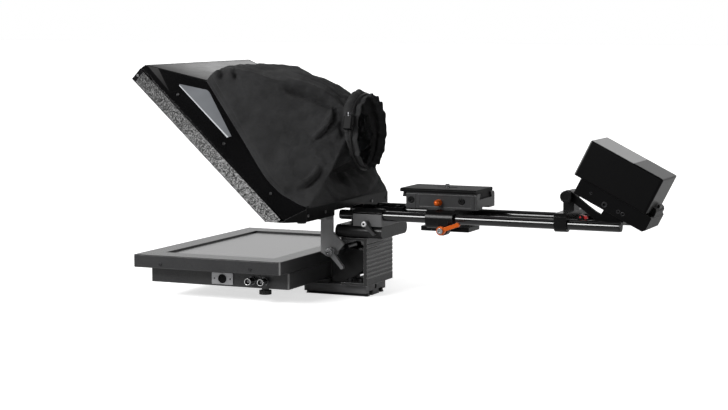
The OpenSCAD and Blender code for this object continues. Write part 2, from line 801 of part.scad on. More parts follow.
// A wing leans in from the frame's edge; its outline is drawn down the slope and along the lean.
// Its lower edge stays above the base's side wall
rise_run = 8;
function lean_length(n) = (n - frame_t) / cos(wing_lean);
wing_edge = 1.5;
module wing_outline() {
  polygon(concat([[foot_tail, wing_step], [-frame_l, wing_step], [-frame_l, lean_length(panel_n)],
    [-panel_v(panel_l), lean_length(panel_height(panel_l)) - 2]],
    [for (p = wing_rim) [-p[0] * frame_l + 2, lean_length(frame_t + p[1] + wing_edge)]],
    [[0.16 * frame_l, lean_length(frame_t + 38)]]));
}

module wing_solid() {
  difference() {
    hood_place() union() {
      translate([frame_w / 2, 0, frame_t]) rotate([0, -wing_lean, 0]) translate([-sheet_t, 0, 0])
        rotate([90, 0, 90]) linear_extrude(sheet_t) wing_outline();
      box(frame_w / 2 - frame_side + 2, frame_w / 2 - wing_step, 26 - frame_l, -frame_end,
        frame_t, frame_t + sheet_t);
    }
    box(-big, big, -big, big, foot_z - big, base_top_z + 0.3);
    along_x(-big / 2) linear_extrude(big) polygon([[base_side_y - rise_run, base_z],
      [base_side_y, base_z + wall_front_h + 0.5], [base_back_y, base_z + wall_back_h + 0.5],
      [base_back_y, base_z]]);
    box(-big, big, base_back_y - sheet_t - 0.3, big, -big, big);
  }
}

module wing_left() { color("black") wing_solid(); }
module wing_right() { color("black") mirror([1, 0, 0]) wing_solid(); }

// Sloped plate with a short front wall and a foot that lies on the frame
module panel_profile() {
  c = cos(panel_lean);
  k = sin(panel_lean);
  t = sheet_t;
  polygon([[0, frame_t], [0, panel_n], [panel_l * c, panel_n + panel_l * k],
    [panel_l * c + t * k, panel_n + panel_l * k - t * c], [t, panel_n - t * 0.6], [t, frame_t + t],
    [frame_end - 2, frame_t + t], [frame_end - 2, frame_t]]);
}

module top_panel() {
  inside = sheet_t / cos(wing_lean) + slip;
  front = panel_half - inside;
  back = wing_u(panel_height(panel_l)) - inside;
  reach = panel_l * cos(panel_lean) + sheet_t;
  color("darkgray") hood_place() translate([0, -frame_l, 0]) intersection() {
    along_x(-frame_w / 2) linear_extrude(frame_w) panel_profile();
    translate([0, 0, frame_t - 1]) linear_extrude(panel_l)
      polygon([[-front, -1], [front, -1], [back, reach], [-back, reach]]);
  }
}

// Tray with a rear wall and two side walls that run out to the front; a notch clears the rods
module hood_base() {
  half = base_front_w / 2;
  back_half = base_back_w / 2;
  side_l = base_back_y - base_side_y;
  side_in = half - back_half;
  wall_u = sheet_t * norm([side_in, side_l]) / side_l;
  heel_u = back_half - wall_u + sheet_t * side_in / side_l;
  corner = 6;
  top = base_z + flange_h;
  color("black") difference() {
    union() {
      translate([0, 0, base_z]) linear_extrude(sheet_t) polygon([[-half, base_front_y], [half, base_front_y],
        [half, base_side_y], [back_half, base_back_y], [-back_half, base_back_y], [-half, base_side_y]]);
      difference() {
        translate([0, 0, base_z]) linear_extrude(flange_h) polygon([[half, base_side_y],
          [back_half, base_back_y], [-back_half, base_back_y], [-half, base_side_y],
          [wall_u - half, base_side_y], [-heel_u, base_back_y - sheet_t],
          [heel_u, base_back_y - sheet_t], [half - wall_u, base_side_y]]);
        along_x(-big / 2) linear_extrude(big) polygon([[base_side_y - 1, base_z + wall_front_h],
          [base_back_y - sheet_t, base_z + wall_back_h], [base_back_y - sheet_t, top + 1],
          [base_side_y - 1, top + 1]]);
        both_sides() along_y(base_back_y - sheet_t - 1) linear_extrude(sheet_t + 2)
          polygon([[back_half - corner, top + 1], [back_half - corner, top],
          [back_half, base_z + wall_back_h], [half, base_z + wall_back_h], [half, top + 1]]);
      }
    }
    box(-notch_half, notch_half, base_back_y - notch_d, base_back_y + 1, base_z - 1, base_z + notch_h);
    for (x = [-1, 1]) translate([x * hood_knob_x, hood_knob_y, base_z - 1])
      cylinder(r = 2.55, h = sheet_t + 2);
  }
}

wing_screw_v = [0.775, 0.43, 0.085];
module hood_screws() {
  color("silver") {
    both_sides() hood_place() for (v = wing_screw_v) translate([frame_w / 2, -v * frame_l, frame_t])
      rotate([0, 90 - wing_lean, 0]) translate([-16.4, 0, 0]) cap_screw(2.2, 1.4);
    both_sides() for (x = [notch_half + 35, base_back_w / 2 - 5])
      translate([x, base_back_y, base_z + 9]) rotate([-90, 0, 0]) cap_screw(2.2, 1.4);
    both_sides() hood_place() translate([frame_w / 2, 4 - frame_l, frame_t / 2])
      rotate([0, 90, 0]) cap_screw(2, 1);
  }
}

// Bare plate on the near wing, with one long edge along the frame
module side_plate() {
  color("silver") hood_place() translate([frame_w / 2, 0, frame_t]) rotate([0, -wing_lean, 0])
    rotate([90, 0, 90]) linear_extrude(0.8) polygon([[-0.81 * frame_l, 28], [-0.446 * frame_l, 27.2],
    [-0.439 * frame_l, 34], [-0.692 * frame_l, 57.6], [-0.71 * frame_l, 57], [-0.816 * frame_l, 30]]);
}

// Flat arm: straight above, flared at the heel, and rounded in to a boss at the hinge
boss_r = 9;
module arm_outline() {
  front = hinge_y - arm_front;
  heel = hinge_y + 18;
  translate([hinge_y, hinge_z]) circle(boss_r);
  polygon([[front, base_z], [front + arm_w, base_z], [front + arm_w, hinge_z + 29], [heel, hinge_z + 13],
    [heel, hinge_z + 10], [hinge_y + boss_r - 2, hinge_z - 3], [hinge_y, hinge_z - boss_r],
    [hinge_y - 8, hinge_z - boss_r], [front, hinge_z - 3]]);
}

module arm_solid() {
  front = hinge_y - arm_front;
  tab = 27;
  color("gray") difference() {
    union() {
      along_x(arm_in_x) linear_extrude(arm_t) arm_outline();
      box(arm_in_x, arm_in_x + tab, front, front + arm_w, base_z - arm_t, base_z);
    }
    along_x(arm_in_x - 1, hinge_y, hinge_z) cylinder(r = hinge_pin_r + pin_clear, h = arm_t + 2);
  }
}

module hood_arm_left() { arm_solid(); }
module hood_arm_right() { mirror([1, 0, 0]) arm_solid(); }

// The pin runs through both arms, the hinge tube and the lever, from its nut to its socket head
hood_lever_x = arm_out_x + slip;
hood_lever_t = 11;
module hinge_pin() {
  nut_h = 6;
  head_x = hood_lever_x + hood_lever_t + slip;
  color("silver") along_x(0, hinge_y, hinge_z) {
    translate([0, 0, -arm_out_x - nut_h]) cylinder(r = hinge_pin_r, h = head_x + arm_out_x + nut_h + 0.5);
    translate([0, 0, -arm_out_x - nut_h]) cylinder(r = 7, h = nut_h, $fn = 6);
    translate([0, 0, head_x]) cap_screw(5.6, 4);
  }
}

module hood_lever() {
  color("dimgray") along_x(hood_lever_x, hinge_y, hinge_z) difference() {
    union() {
      cylinder(r = 6.4, h = 6);
      translate([0, 0, 5]) linear_extrude(hood_lever_t - 5) lever_outline(7.4, [20, -23], 3.2, 4.4);
    }
    translate([0, 0, -1]) cylinder(r = hinge_pin_r + pin_clear, h = hood_lever_t + 2);
  }
}

module hood_knob(side) {
  color("black") translate([side * hood_knob_x, hood_knob_y, base_z - hood_knob_h - 1.2])
    thumb_screw(hood_knob_r, hood_knob_h, 3.9, 1.2 - slip, 2.5, sheet_t + 1.2 - slip, 18);
}

module hood_knob_left() { hood_knob(1); }
module hood_knob_right() { hood_knob(-1); }

// Cloth from the hood's rear edge to the collar, as a closed skin of two layers
module shroud() {
  count = rim_count;
  outer = len(cloth_inside);
  color("#26262a") polyhedron(points = concat(cloth_inside, cloth_outside), faces = concat(
    [for (i = [0:cloth_rings - 1]) for (k = [0:count - 1]) each
      [[i * count + k, i * count + wrap(k + 1), (i + 1) * count + k],
       [i * count + wrap(k + 1), (i + 1) * count + wrap(k + 1), (i + 1) * count + k]]],
    [for (i = [0:cloth_rings - 1]) for (k = [0:count - 1]) each
      [[outer + i * count + k, outer + (i + 1) * count + k, outer + i * count + wrap(k + 1)],
       [outer + i * count + wrap(k + 1), outer + (i + 1) * count + k,
        outer + (i + 1) * count + wrap(k + 1)]]],
    [for (k = [0:count - 1]) each
      [[k, outer + k, wrap(k + 1)], [wrap(k + 1), outer + k, outer + wrap(k + 1)]]],
    [for (k = [0:count - 1]) let (a = cloth_rings * count) each
      [[a + k, a + wrap(k + 1), outer + a + k],
       [a + wrap(k + 1), outer + a + wrap(k + 1), outer + a + k]]]));
}

cord_y = collar_y - 5;
cord_path_r = collar_r * (1 + gather_depth) + cloth_t + cord_ring_r + 0.3;
module draw_cord() {
  color("black") translate([0, cord_y, collar_z]) rotate([90, 0, 0]) rotate_extrude()
    translate([cord_path_r, 0]) circle(cord_ring_r);
}

lock_angle = 74;
lock_w = 12;
lock_d = 15;
lock_l = 19;
lock_bore_r = 4.4;
lock_up = cord_path_r + cord_ring_r + lock_w / 2 + 0.3;
// The lock lies along the cord, outside it; its button looks up
module lock_place() {
  translate([0, cord_y, collar_z]) rotate([0, lock_angle, 0]) translate([0, 0, lock_up])
    rotate([0, -90, 0]) children();
}

module cord_lock() {
  color("black") lock_place() difference() {
    translate([0, 0, -11]) linear_extrude(lock_l) rounded_rect(lock_w, lock_d, 2.5);
    translate([0, 0, -0.5]) cylinder(r = lock_bore_r, h = lock_l);
    translate([0, 10, -6]) rotate([90, 0, 0]) cylinder(r = 2, h = 20);
  }
}

module cord_lock_button() {
  color("dimgray") lock_place() translate([0, 0, 2.4]) {
    cylinder(r = lock_bore_r - 0.05, h = 10);
    translate([0, 0, 8.6]) cylinder(r = lock_bore_r + 1, h = 3.4);
  }
}

// Rods and camera base

module rod(side) {
  color("#202022") along_y(rod_front_y) translate([side * rod_x, rod_z]) difference() {
    cylinder(r = rod_r, h = rod_length);
    for (z = [-eps, rod_length - 6]) translate([0, 0, z]) cylinder(r = cap_r, h = 6 + eps);
  }
}

module rod_left() { rod(1); }
module rod_right() { rod(-1); }

module rod_caps() {
  color("black") for (x = [-1, 1]) {
    along_y(rod_front_y) translate([x * rod_x, rod_z, 0]) cylinder(r = cap_r, h = 6);
    along_y(rod_back_y) translate([x * rod_x, rod_z, -6]) cylinder(r = cap_r, h = 6);
    along_y(rod_front_y - cap_t) translate([x * rod_x, rod_z]) cylinder(r = rod_r - 0.5, h = cap_t);
    along_y(rod_back_y) translate([x * rod_x, rod_z]) cylinder(r = rod_r - 0.5, h = cap_t);
  }
}

module sled_clamp() {
  color("black") difference() {
    union() {
      along_y(sled_y) linear_extrude(sled_l) {
        for (x = [-1, 1]) translate([x * rod_x, rod_z]) circle(sleeve_r);
        translate([-rod_x, rod_z - sleeve_r]) square([rod_spacing, 2 * sleeve_r - 5]);
        translate([-rod_x + 10, rod_z]) square([rod_spacing - 20, receiver_z - rod_z]);
      }
      along_x(rod_x, lever_y, lever_z) cylinder(r = lug_r, h = sleeve_r);
      box(rod_x, rod_x + sleeve_r, lever_y - lug_r, lever_y + lug_r, lever_z, rod_z);
    }
    along_y(sled_y - 1) for (x = [-1, 1]) translate([x * rod_x, rod_z])
      cylinder(r = rod_bore_r, h = sled_l + 2);
    box(rod_x - 1, rod_x + 1, sled_y - 1, sled_y + sled_l + 1, rod_z - sleeve_r - 1, rod_z);
    along_x(rod_x + 2, lever_y, lever_z) cylinder(r = lever_bolt_r + pin_clear, h = sleeve_r);
  }
}

module receiver_profile() {
  half = receiver_w / 2;
  wide = tongue_w / 2 + 1.5 * slip;
  difference() {
    polygon([[-half, receiver_z], [half, receiver_z], [half, receiver_top_z - 2], [half - 2, receiver_top_z],
      [wide - tongue_lean, receiver_top_z], [wide, channel_z], [-wide, channel_z],
      [tongue_lean - wide, receiver_top_z], [tongue_lean - wide - 10, receiver_top_z],
      [3 - half, receiver_top_z], [-half, receiver_top_z - 4]]);
    translate([0, receiver_z]) square([30, 6], center = true);
  }
}

module receiver() {
  face = receiver_w / 2;
  color("dimgray") difference() {
    along_y(receiver_y) linear_extrude(receiver_l) receiver_profile();
    for (y = receiver_screw_y) along_x(face - 12, receiver_y + y, receiver_screw_z) {
      cylinder(r = 2.05, h = 13);
      translate([0, 0, 10]) cylinder(r = 5.8, h = 3);
    }
    // The near face is sunk between two strips, and a groove runs outside each strip
    box(face - strip_depth, receiver_w, receiver_y + strip_y[0] + strip_w, receiver_y + strip_y[1],
      receiver_z + 3, receiver_top_z - 4);
    for (y = [strip_y[0] - 1.5, strip_y[1] + strip_w])
      box(face - strip_depth, receiver_w, receiver_y + y, receiver_y + y + 1.5,
        receiver_z - 1, receiver_top_z + 1);
    along_x(face - 12, button_y, button_z) cylinder(r = button_r + 0.06, h = 13);
  }
}

module receiver_screws() {
  color("silver") for (y = receiver_screw_y) along_x(receiver_w / 2 - 2, receiver_y + y, receiver_screw_z) {
    cap_screw(4.6, 2.6);
    translate([0, 0, -8]) cylinder(r = 2, h = 8.5);
  }
}

bottom_plate_t = 7;
module bottom_plate() {
  color("black") translate([0, sled_mid_y - 3, rod_z - sleeve_r - bottom_plate_t]) difference() {
    linear_extrude(bottom_plate_t) rounded_rect(52, 78, 3);
    for (y = [-26, 26]) translate([0, y, -1]) cylinder(r = 3.3, h = bottom_plate_t + 2);
  }
}

module camera_plate() {
  half = tongue_w / 2;
  color("#1c1c1e") difference() {
    union() {
      along_y(plate_y) linear_extrude(plate_l) polygon([[-half, channel_z + slip], [half, channel_z + slip],
        [half - tongue_lean, receiver_top_z + slip], [half - tongue_lean, receiver_top_z + slip + 1],
        [tongue_lean - half, receiver_top_z + slip + 1], [tongue_lean - half, receiver_top_z + slip]]);
      along_y(plate_y) linear_extrude(plate_l) polygon([[-receiver_w / 2 + 3, receiver_top_z + slip],
        [receiver_w / 2 - 3, receiver_top_z + slip], [receiver_w / 2 - 2, plate_top_z - 2],
        [receiver_w / 2 - 4, plate_top_z], [4 - receiver_w / 2, plate_top_z],
        [2 - receiver_w / 2, plate_top_z - 2]]);
    }
    translate([0, screw_y, channel_z]) linear_extrude(8) rounded_rect(19, 46, 9.4);
    translate([0, screw_y, channel_z]) linear_extrude(30) rounded_rect(6.8, 34, 3.3);
    for (x = [-1, 1]) box(x * 24 - 1, x * 24 + 1, plate_y + 6, plate_y + plate_l - 6,
      plate_top_z - 1, plate_top_z + 1);
  }
}

module camera_screw() {
  head_z = channel_z + 4.5;
  color("silver") translate([0, screw_y, 0]) {
    translate([0, 0, head_z]) cylinder(r = 8, h = channel_z + 8 - head_z - 0.05);
    translate([0, 0, head_z + 1]) cylinder(r = camera_screw_r - 0.2, h = plate_top_z - head_z);
    translate([0, 0, plate_top_z]) cylinder(r = camera_screw_r, h = camera_screw_h);
  }
}

// Stem in the receiver's bore, waist, and a head with a cut rim
module release_button() {
  color("orangered") along_x(receiver_w / 2, button_y, button_z) {
    translate([0, 0, -8.5]) cylinder(r = button_r, h = 12);
    translate([0, 0, 3]) cylinder(r = button_r - 1, h = 3.5);
    translate([0, 0, 6]) cylinder(r = button_r - 0.2, h = 2);
    translate([0, 0, 8]) intersection() {
      sphere(r = button_r - 0.2);
      cylinder(r = button_r, h = button_r);
    }
  }
}

module sled_lever() {
  color("orangered") along_x(lever_x, lever_y, lever_z) difference() {
    union() {
      cylinder(r = 5.4, h = 4);
      translate([0, 0, 3]) linear_extrude(lever_t - 3) lever_outline(6.8, [26.5, 10], 3.4, 3.2);
    }
    translate([0, 0, -1]) cylinder(r = lever_bolt_r + pin_clear, h = lever_t + 2);
  }
}

// Bolt that carries the lever, screwed into the sled's lug
module sled_bolt() {
  length = lever_t + slip + 8;
  color("silver") along_x(lever_x, lever_y, lever_z) {
    translate([0, 0, lever_t + slip - length]) cylinder(r = lever_bolt_r, h = length + 0.5);
    translate([0, 0, lever_t + slip]) cap_screw(4.6, 2.6);
  }
}

// Battery bracket

module rear_clamp() {
  sleeve = rod_r + 3.5;
  block_h = 17;
  color("black") difference() {
    union() {
      along_y(rear_clamp_y) linear_extrude(rear_clamp_l) {
        for (x = [-1, 1]) translate([x * rod_x, rod_z]) circle(sleeve);
        translate([-rod_x, rod_z - 9]) square([rod_spacing, 9]);
        translate([-rod_x - sleeve, rod_z - 5]) cut_rect(rod_spacing + 2 * sleeve, block_h + 5, 5);
      }
      along_x(-tower_w / 2) linear_extrude(tower_w) {
        translate([tilt_y, tilt_z]) circle(8.5);
        translate([tilt_y - 8.5, rod_z]) square([17, tilt_lift]);
      }
      along_x(red_x) linear_extrude(red_w) {
        translate([rear_clamp_y + rear_clamp_l - 1, rod_z - 6])
          square([red_y - rear_clamp_y - rear_clamp_l + 5, 12]);
        translate([red_y, red_z]) circle(4);
        translate([red_y - 4, rod_z]) square([8, red_z - rod_z]);
      }
    }
    along_y(rear_clamp_y - 1) for (x = [-1, 1]) translate([x * rod_x, rod_z])
      cylinder(r = rod_bore_r, h = rear_clamp_l + 2);
    along_x(-big / 2, tilt_y, tilt_z) cylinder(r = 3 + pin_clear, h = big);
    box(red_x + 3, red_x + red_w - 3, red_y - 8, red_y + 8, rod_z + 6.5, red_z + 8);
    along_x(red_x - 1, red_y, red_z) cylinder(r = 1.5 + pin_clear, h = red_w + 2);
  }
}

module red_lever() {
  color("red") {
    along_x(red_x + 3 + slip, red_y, red_z) linear_extrude(red_w - 6 - 2 * slip)
      lever_outline(3.6, [7.5, -0.5], 2.4, 2.8);
    along_x(red_x, red_y, red_z) cylinder(r = 1.5, h = red_w);
  }
}

// One arm beside the tower leaves a wedge gap under the plate, and carries it at the far end
arm_seat = [58, 92];
pin_head = 4;
module battery_arm() {
  color("black") tilt_place() {
    along_x(tilt_arm_x) linear_extrude(tilt_arm_t) {
      circle(9);
      polygon([[0, 9], [8, 8.5], [12, 7], [33, 3], [46, 1.2], [arm_seat[0] - 1, 0.8],
        [arm_seat[0], batt_plate_n], [arm_seat[1], batt_plate_n], [arm_seat[1], -2], [84, -12],
        [56, -12], [48, -9.7], [31, -6.6], [10, -4], [0, -9]]);
    }
    wide_box(2 * tilt_arm_x + 1, arm_seat[0], arm_seat[1] - 2, -2, batt_plate_n);
    along_x(-tilt_arm_x - pin_head) {
      cylinder(r = 3, h = 2 * tilt_arm_x + pin_head + 1);
      cylinder(r = 6, h = pin_head);
    }
  }
}

module tilt_knob() {
  x0 = tilt_arm_x + tilt_arm_t + slip;
  color("black") along_x(x0, tilt_y, tilt_z) difference() {
    union() {
      cylinder(r = 5, h = 4);
      translate([0, 0, 3]) cylinder(r = 8.8, h = 7);
    }
    for (k = [0:19]) rotate(k * 18) translate([8.8, 0, 2]) cylinder(r = 0.7, h = 9);
    translate([0, 0, 9]) cylinder(r = 5.6, h = 2);
  }
}

// Lamp, round socket and twin sockets in the plate's near side: place along, height and radius
plate_ports = [[33, 12.5, 2], [58.5, 7.5, 4.2], [81.5, 8.7, 3], [89, 8.7, 3]];
port_depth = 6;
plate_end = batt_plate_s + batt_plate_l;
plate_face = batt_plate_n + batt_plate_t;
lip_h = 12;
lip_w = 46;
catch_w = 18;
// The catch stands in a slot of the lip that stops the battery
catch_slot = [plate_end - 6, plate_end - 1.8];
module battery_plate() {
  color("black") tilt_place() difference() {
    union() {
      along_x(-batt_plate_w / 2) linear_extrude(batt_plate_w) polygon([[batt_plate_s, batt_plate_n],
        [plate_end - 4, batt_plate_n], [plate_end, batt_plate_n + 4], [plate_end, plate_face - 2],
        [plate_end - 2, plate_face], [batt_plate_s, plate_face]]);
      along_x(-lip_w / 2) linear_extrude(lip_w) polygon([[plate_end - 7.8, plate_face - 1],
        [plate_end - 0.5, plate_face - 2.5], [plate_end - 0.5, plate_face + lip_h - 4],
        [plate_end - 3, plate_face + lip_h], [plate_end - 7.8, plate_face + lip_h]]);
      translate([0, 0, plate_face - 1]) linear_extrude(wedge_h)
        polygon([[-wedge_w / 2 + 4, 30], [wedge_w / 2 - 4, 30], [wedge_w / 2 - 1, 86],
          [1 - wedge_w / 2, 86]]);
    }
    for (p = plate_ports) along_x(batt_plate_w / 2 - port_depth, p[0], batt_plate_n + p[1])
      cylinder(r = p[2], h = port_depth + 1);
    wide_box(catch_w, catch_slot[0], catch_slot[1], plate_face + 3, plate_face + lip_h + 1);
  }
}

module plate_sockets() {
  color("gray") tilt_place() for (p = plate_ports)
    along_x(batt_plate_w / 2 - port_depth, p[0], batt_plate_n + p[1]) difference() {
      cylinder(r = p[2], h = port_depth + 0.5);
      translate([0, 0, 1.5]) cylinder(r = p[2] * 0.6, h = 6);
    }
}

// Rounded block, hollowed under the wedge
module battery() {
  color("#2c2c2e") tilt_place() difference() {
    intersection() {
      translate([0, batt_s + battery_l / 2, batt_n]) linear_extrude(battery_h)
        rounded_rect(battery_w, battery_l, batt_round);
      along_x(-battery_w, batt_s + battery_l / 2, batt_n + battery_h / 2) linear_extrude(2 * battery_w)
        rounded_rect(battery_l, battery_h, batt_round - 1);
      along_y(batt_s) translate([0, batt_n + battery_h / 2]) linear_extrude(battery_l)
        rounded_rect(battery_w, battery_h, batt_round - 1);
    }
    wide_box(wedge_w + 1, batt_s + 18, batt_s + battery_l + 1, batt_n - 1, batt_n + wedge_h);
  }
}

module battery_catch() {
  color("dimgray") tilt_place() wide_box(catch_w - 2 * slip, catch_slot[0] + slip, catch_slot[1] - slip,
    plate_face + 8, plate_face + lip_h + 4);
}

dovetail_rail();
riser();
riser_bolts();
saddle();
front_clamp();
clamp_caps();
front_lever();
tilt_yoke();
monitor_bracket();
monitor_bezel();
monitor_housing();
screen();
lcd_panel();
controller_board();
power_inlet();
inlet_insert();
video_sockets();
bezel_screws();
monitor_knob_left();
monitor_knob_right();
hood_frame();
glass();
glass_retainers();
loop_tapes();
wing_left();
wing_right();
top_panel();
hood_base();
hood_screws();
side_plate();
hood_arm_left();
hood_arm_right();
hinge_pin();
hood_lever();
hood_knob_left();
hood_knob_right();
shroud();
draw_cord();
cord_lock();
cord_lock_button();
rod_left();
rod_right();
rod_caps();
sled_clamp();
receiver();
receiver_screws();
bottom_plate();
camera_plate();
camera_screw();
release_button();
sled_lever();
sled_bolt();
rear_clamp();
red_lever();
battery_arm();
tilt_knob();
battery_plate();
plate_sockets();
battery();
battery_catch();
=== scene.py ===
import bpy
import math
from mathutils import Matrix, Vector, noise


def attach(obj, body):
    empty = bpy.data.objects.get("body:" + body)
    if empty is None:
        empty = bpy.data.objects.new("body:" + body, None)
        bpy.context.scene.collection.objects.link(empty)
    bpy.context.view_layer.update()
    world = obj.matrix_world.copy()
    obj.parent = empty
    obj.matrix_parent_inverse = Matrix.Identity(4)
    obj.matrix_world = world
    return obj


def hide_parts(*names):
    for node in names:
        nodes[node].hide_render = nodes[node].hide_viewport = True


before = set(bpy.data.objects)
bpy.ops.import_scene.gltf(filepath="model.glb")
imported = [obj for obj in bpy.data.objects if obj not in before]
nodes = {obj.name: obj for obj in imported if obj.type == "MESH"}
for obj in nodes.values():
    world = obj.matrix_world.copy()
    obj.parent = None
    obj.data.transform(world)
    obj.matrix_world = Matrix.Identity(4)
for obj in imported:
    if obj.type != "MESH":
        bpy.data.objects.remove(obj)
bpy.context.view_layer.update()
print("frame loaded:", len(nodes), "nodes")

# camera, fitted to the edges of rail, riser, monitor and hood
shot = {
    "spot": (2.6887, 1.1987, 0.4423),
    "look": (-0.9126, -0.3958, -0.1029),
    "lens": 93.16,
    "sensor": 36.0,
}
camData = bpy.data.cameras.new("shotCamera")
camData.lens = shot["lens"]
camData.sensor_width = shot["sensor"]
camObj = bpy.data.objects.new("shotCamera", camData)
camObj.location = shot["spot"]
camObj.rotation_mode = "QUATERNION"
camObj.rotation_quaternion = Vector(shot["look"]).to_track_quat("-Z", "Y")
bpy.context.scene.collection.objects.link(camObj)
bpy.context.scene.camera = camObj
print("camera set")


# small helpers for selecting and dressing pieces
def deselectAll():
    if bpy.context.object and bpy.context.object.mode != "OBJECT":
        bpy.ops.object.mode_set(mode="OBJECT")
    bpy.ops.object.select_all(action="DESELECT")


def makeActive(obj):
    deselectAll()
    obj.select_set(True)
    bpy.context.view_layer.objects.active = obj


def dress(obj, finish):
    obj.data.materials.clear()
    obj.data.materials.append(finish)


# small helpers for nodes: a socket takes a number, a colour or another node's output
def feed(tree, socket, value):
    if isinstance(value, bpy.types.NodeSocket):
        tree.links.new(value, socket)
    else:
        socket.default_value = value


def addNode(tree, kind, inputs=None):
    node = tree.nodes.new("ShaderNode" + kind)
    for name, value in (inputs or {}).items():
        feed(tree, node.inputs[name], value)
    return node


def objectCoords(tree, stretch=(1, 1, 1), turn=(0, 0, 0)):
    spot = addNode(tree, "TexCoord").outputs["Object"]
    return addNode(tree, "Mapping", {"Vector": spot, "Scale": stretch, "Rotation": turn}).outputs["Vector"]


def splitAxes(tree, vector):
    return addNode(tree, "SeparateXYZ", {"Vector": vector}).outputs


def noiseOn(tree, vector, scale, detail=2.0, rough=0.5):
    inputs = {"Vector": vector, "Scale": scale, "Detail": detail, "Roughness": rough}
    return addNode(tree, "TexNoise", inputs).outputs["Fac"]


def spread(tree, value, low, high, fromLow=0.3, fromHigh=0.7, kind="LINEAR"):
    inputs = {"Value": value, "From Min": fromLow, "From Max": fromHigh, "To Min": low, "To Max": high}
    ranger = addNode(tree, "MapRange", inputs)
    ranger.interpolation_type = kind
    return ranger.outputs["Result"]


def smoothSpread(tree, value, fromLow, fromHigh, low, high):
    return spread(tree, value, low, high, fromLow, fromHigh, "SMOOTHSTEP")


def mathStep(tree, kind, first, second=0):
    step = addNode(tree, "Math")
    step.operation = kind
    for socket, value in zip(step.inputs, (first, second)):
        feed(tree, socket, value)
    return step.outputs["Value"]


def vectorStep(tree, kind, vector, other=(0, 0, 0)):
    step = addNode(tree, "VectorMath")
    step.operation = kind
    for socket, value in zip(step.inputs, (vector, other)):
        feed(tree, socket, value)
    return step.outputs["Value"]


# heights added up, each with its share
def addShares(tree, pairs):
    total = 0.0
    for height, share in pairs:
        total = mathStep(tree, "ADD", total, mathStep(tree, "MULTIPLY", height, share))
    return total


def twoTone(tree, value, dark, light, fromLow=0.3, fromHigh=0.7):
    ramp = addNode(tree, "ValToRGB", {"Fac": value})
    for stop, place, tone in zip(ramp.color_ramp.elements, (fromLow, fromHigh), (dark, light)):
        stop.position = place
        stop.color = (*tone, 1)
    return ramp.outputs["Color"]


def mixTone(tree, share, first, second, blend="MIX"):
    mixed = addNode(tree, "Mix")
    mixed.data_type = "RGBA"
    mixed.blend_type = blend
    for name, value in (("Factor", share), ("A", first), ("B", second)):
        feed(tree, mixed.inputs[name], value)
    return mixed.outputs["Result"]


def shaded(colour, share):
    return tuple(min(1, c * share) for c in colour)


edgeSamples = 4  # rays for a rounded edge
fineDetail = 3  # octaves of a fine grain


# broken edges, as wide as the real ones
def roundedNormal(tree, radius):
    rounded = addNode(tree, "Bevel", {"Radius": radius})
    rounded.samples = edgeSamples
    return rounded.outputs["Normal"]


def bumpFrom(tree, shader, height, strength, distance, edge=0.0):
    bump = addNode(tree, "Bump", {"Height": height, "Strength": strength, "Distance": distance})
    if edge > 0:
        feed(tree, bump.inputs["Normal"], roundedNormal(tree, edge))
    feed(tree, shader.inputs["Normal"], bump.outputs["Normal"])


# another tone on one facet, bounded by planes: painted highlights, a painted reflection and painted light on a face,
# and a socket's bright rim; each plane runs from 0 at its start to 1 at its end
def facetTone(tree, tone, facet, spot):
    mask = 1.0
    for way, start, end in facet["sides"]:
        inside = spread(tree, vectorStep(tree, "DOT_PRODUCT", spot, way), 0.0, 1.0, start, end)
        mask = mathStep(tree, "MULTIPLY", mask, inside)
    return mixTone(tree, mask, tone, (*facet["tone"], 1))


# pale edges where the rounded normal leaves the flat one: partly rubbed wear, partly painted highlight
def wearAndHighlightTone(tree, tone, wearAndHighlight, radius, span):
    flat = addNode(tree, "NewGeometry").outputs["True Normal"]
    same = vectorStep(tree, "DOT_PRODUCT", roundedNormal(tree, radius), flat)
    return mixTone(tree, spread(tree, same, 1.0, 0.0, *span), tone, (wearAndHighlight, wearAndHighlight, wearAndHighlight, 1))


# finishes: all on Object coordinates, in metres, but the weave, which follows the cloth's UV map
def startFinish(name, colour, rough, metal=0.0, spec=0.5):
    mat = bpy.data.materials.new(name)
    mat.use_nodes = True
    shader = mat.node_tree.nodes["Principled BSDF"]
    shader.inputs["Base Color"].default_value = (*colour, 1)
    shader.inputs["Roughness"].default_value = rough
    shader.inputs["Metallic"].default_value = metal
    shader.inputs["Specular IOR Level"].default_value = spec
    return mat, mat.node_tree, shader


# what a coat has where it says nothing else
plainCoat = {"metal": 0, "spec": 0.5, "grain": 1500, "bump": 0.2, "depth": 0.0002, "vary": 0.05, "edge": 0.0006,
             "stretch": (1, 1, 1), "patch": 18, "shade": 0.85, "tint": 1.15, "facets": [], "wearAndHighlightSpan": (0.8, 0.97)}


# coat with a fine grain: powder coat, moulded plastic, anodised metal
def grainFinish(name, form):
    form = {**plainCoat, **form}
    rough, vary = form["rough"], form["vary"]
    mat, tree, shader = startFinish(name, form["colour"], rough, form["metal"], form["spec"])
    coords = objectCoords(tree, form["stretch"])
    fine = noiseOn(tree, coords, form["grain"], fineDetail)
    broad = noiseOn(tree, coords, form["patch"])
    tone = twoTone(tree, broad, shaded(form["colour"], form["shade"]), shaded(form["colour"], form["tint"]))
    # painted highlights and a painted reflection on single facets, and the socket's bright rim
    for facet in form["facets"]:
        tone = facetTone(tree, tone, facet, objectCoords(tree))
    # pale edges: rubbed wear and painted highlight
    if "wearAndHighlight" in form:
        tone = wearAndHighlightTone(tree, tone, form["wearAndHighlight"], form["edge"], form["wearAndHighlightSpan"])
    feed(tree, shader.inputs["Base Color"], tone)
    feed(tree, shader.inputs["Roughness"], spread(tree, fine, rough - vary, rough + vary))
    bumpFrom(tree, shader, fine, form["bump"], form["depth"], form["edge"])
    if "coat" in form:
        shader.inputs["Coat Weight"].default_value = form["coat"]
        shader.inputs["Coat Roughness"].default_value = form["coatRough"]
    return mat
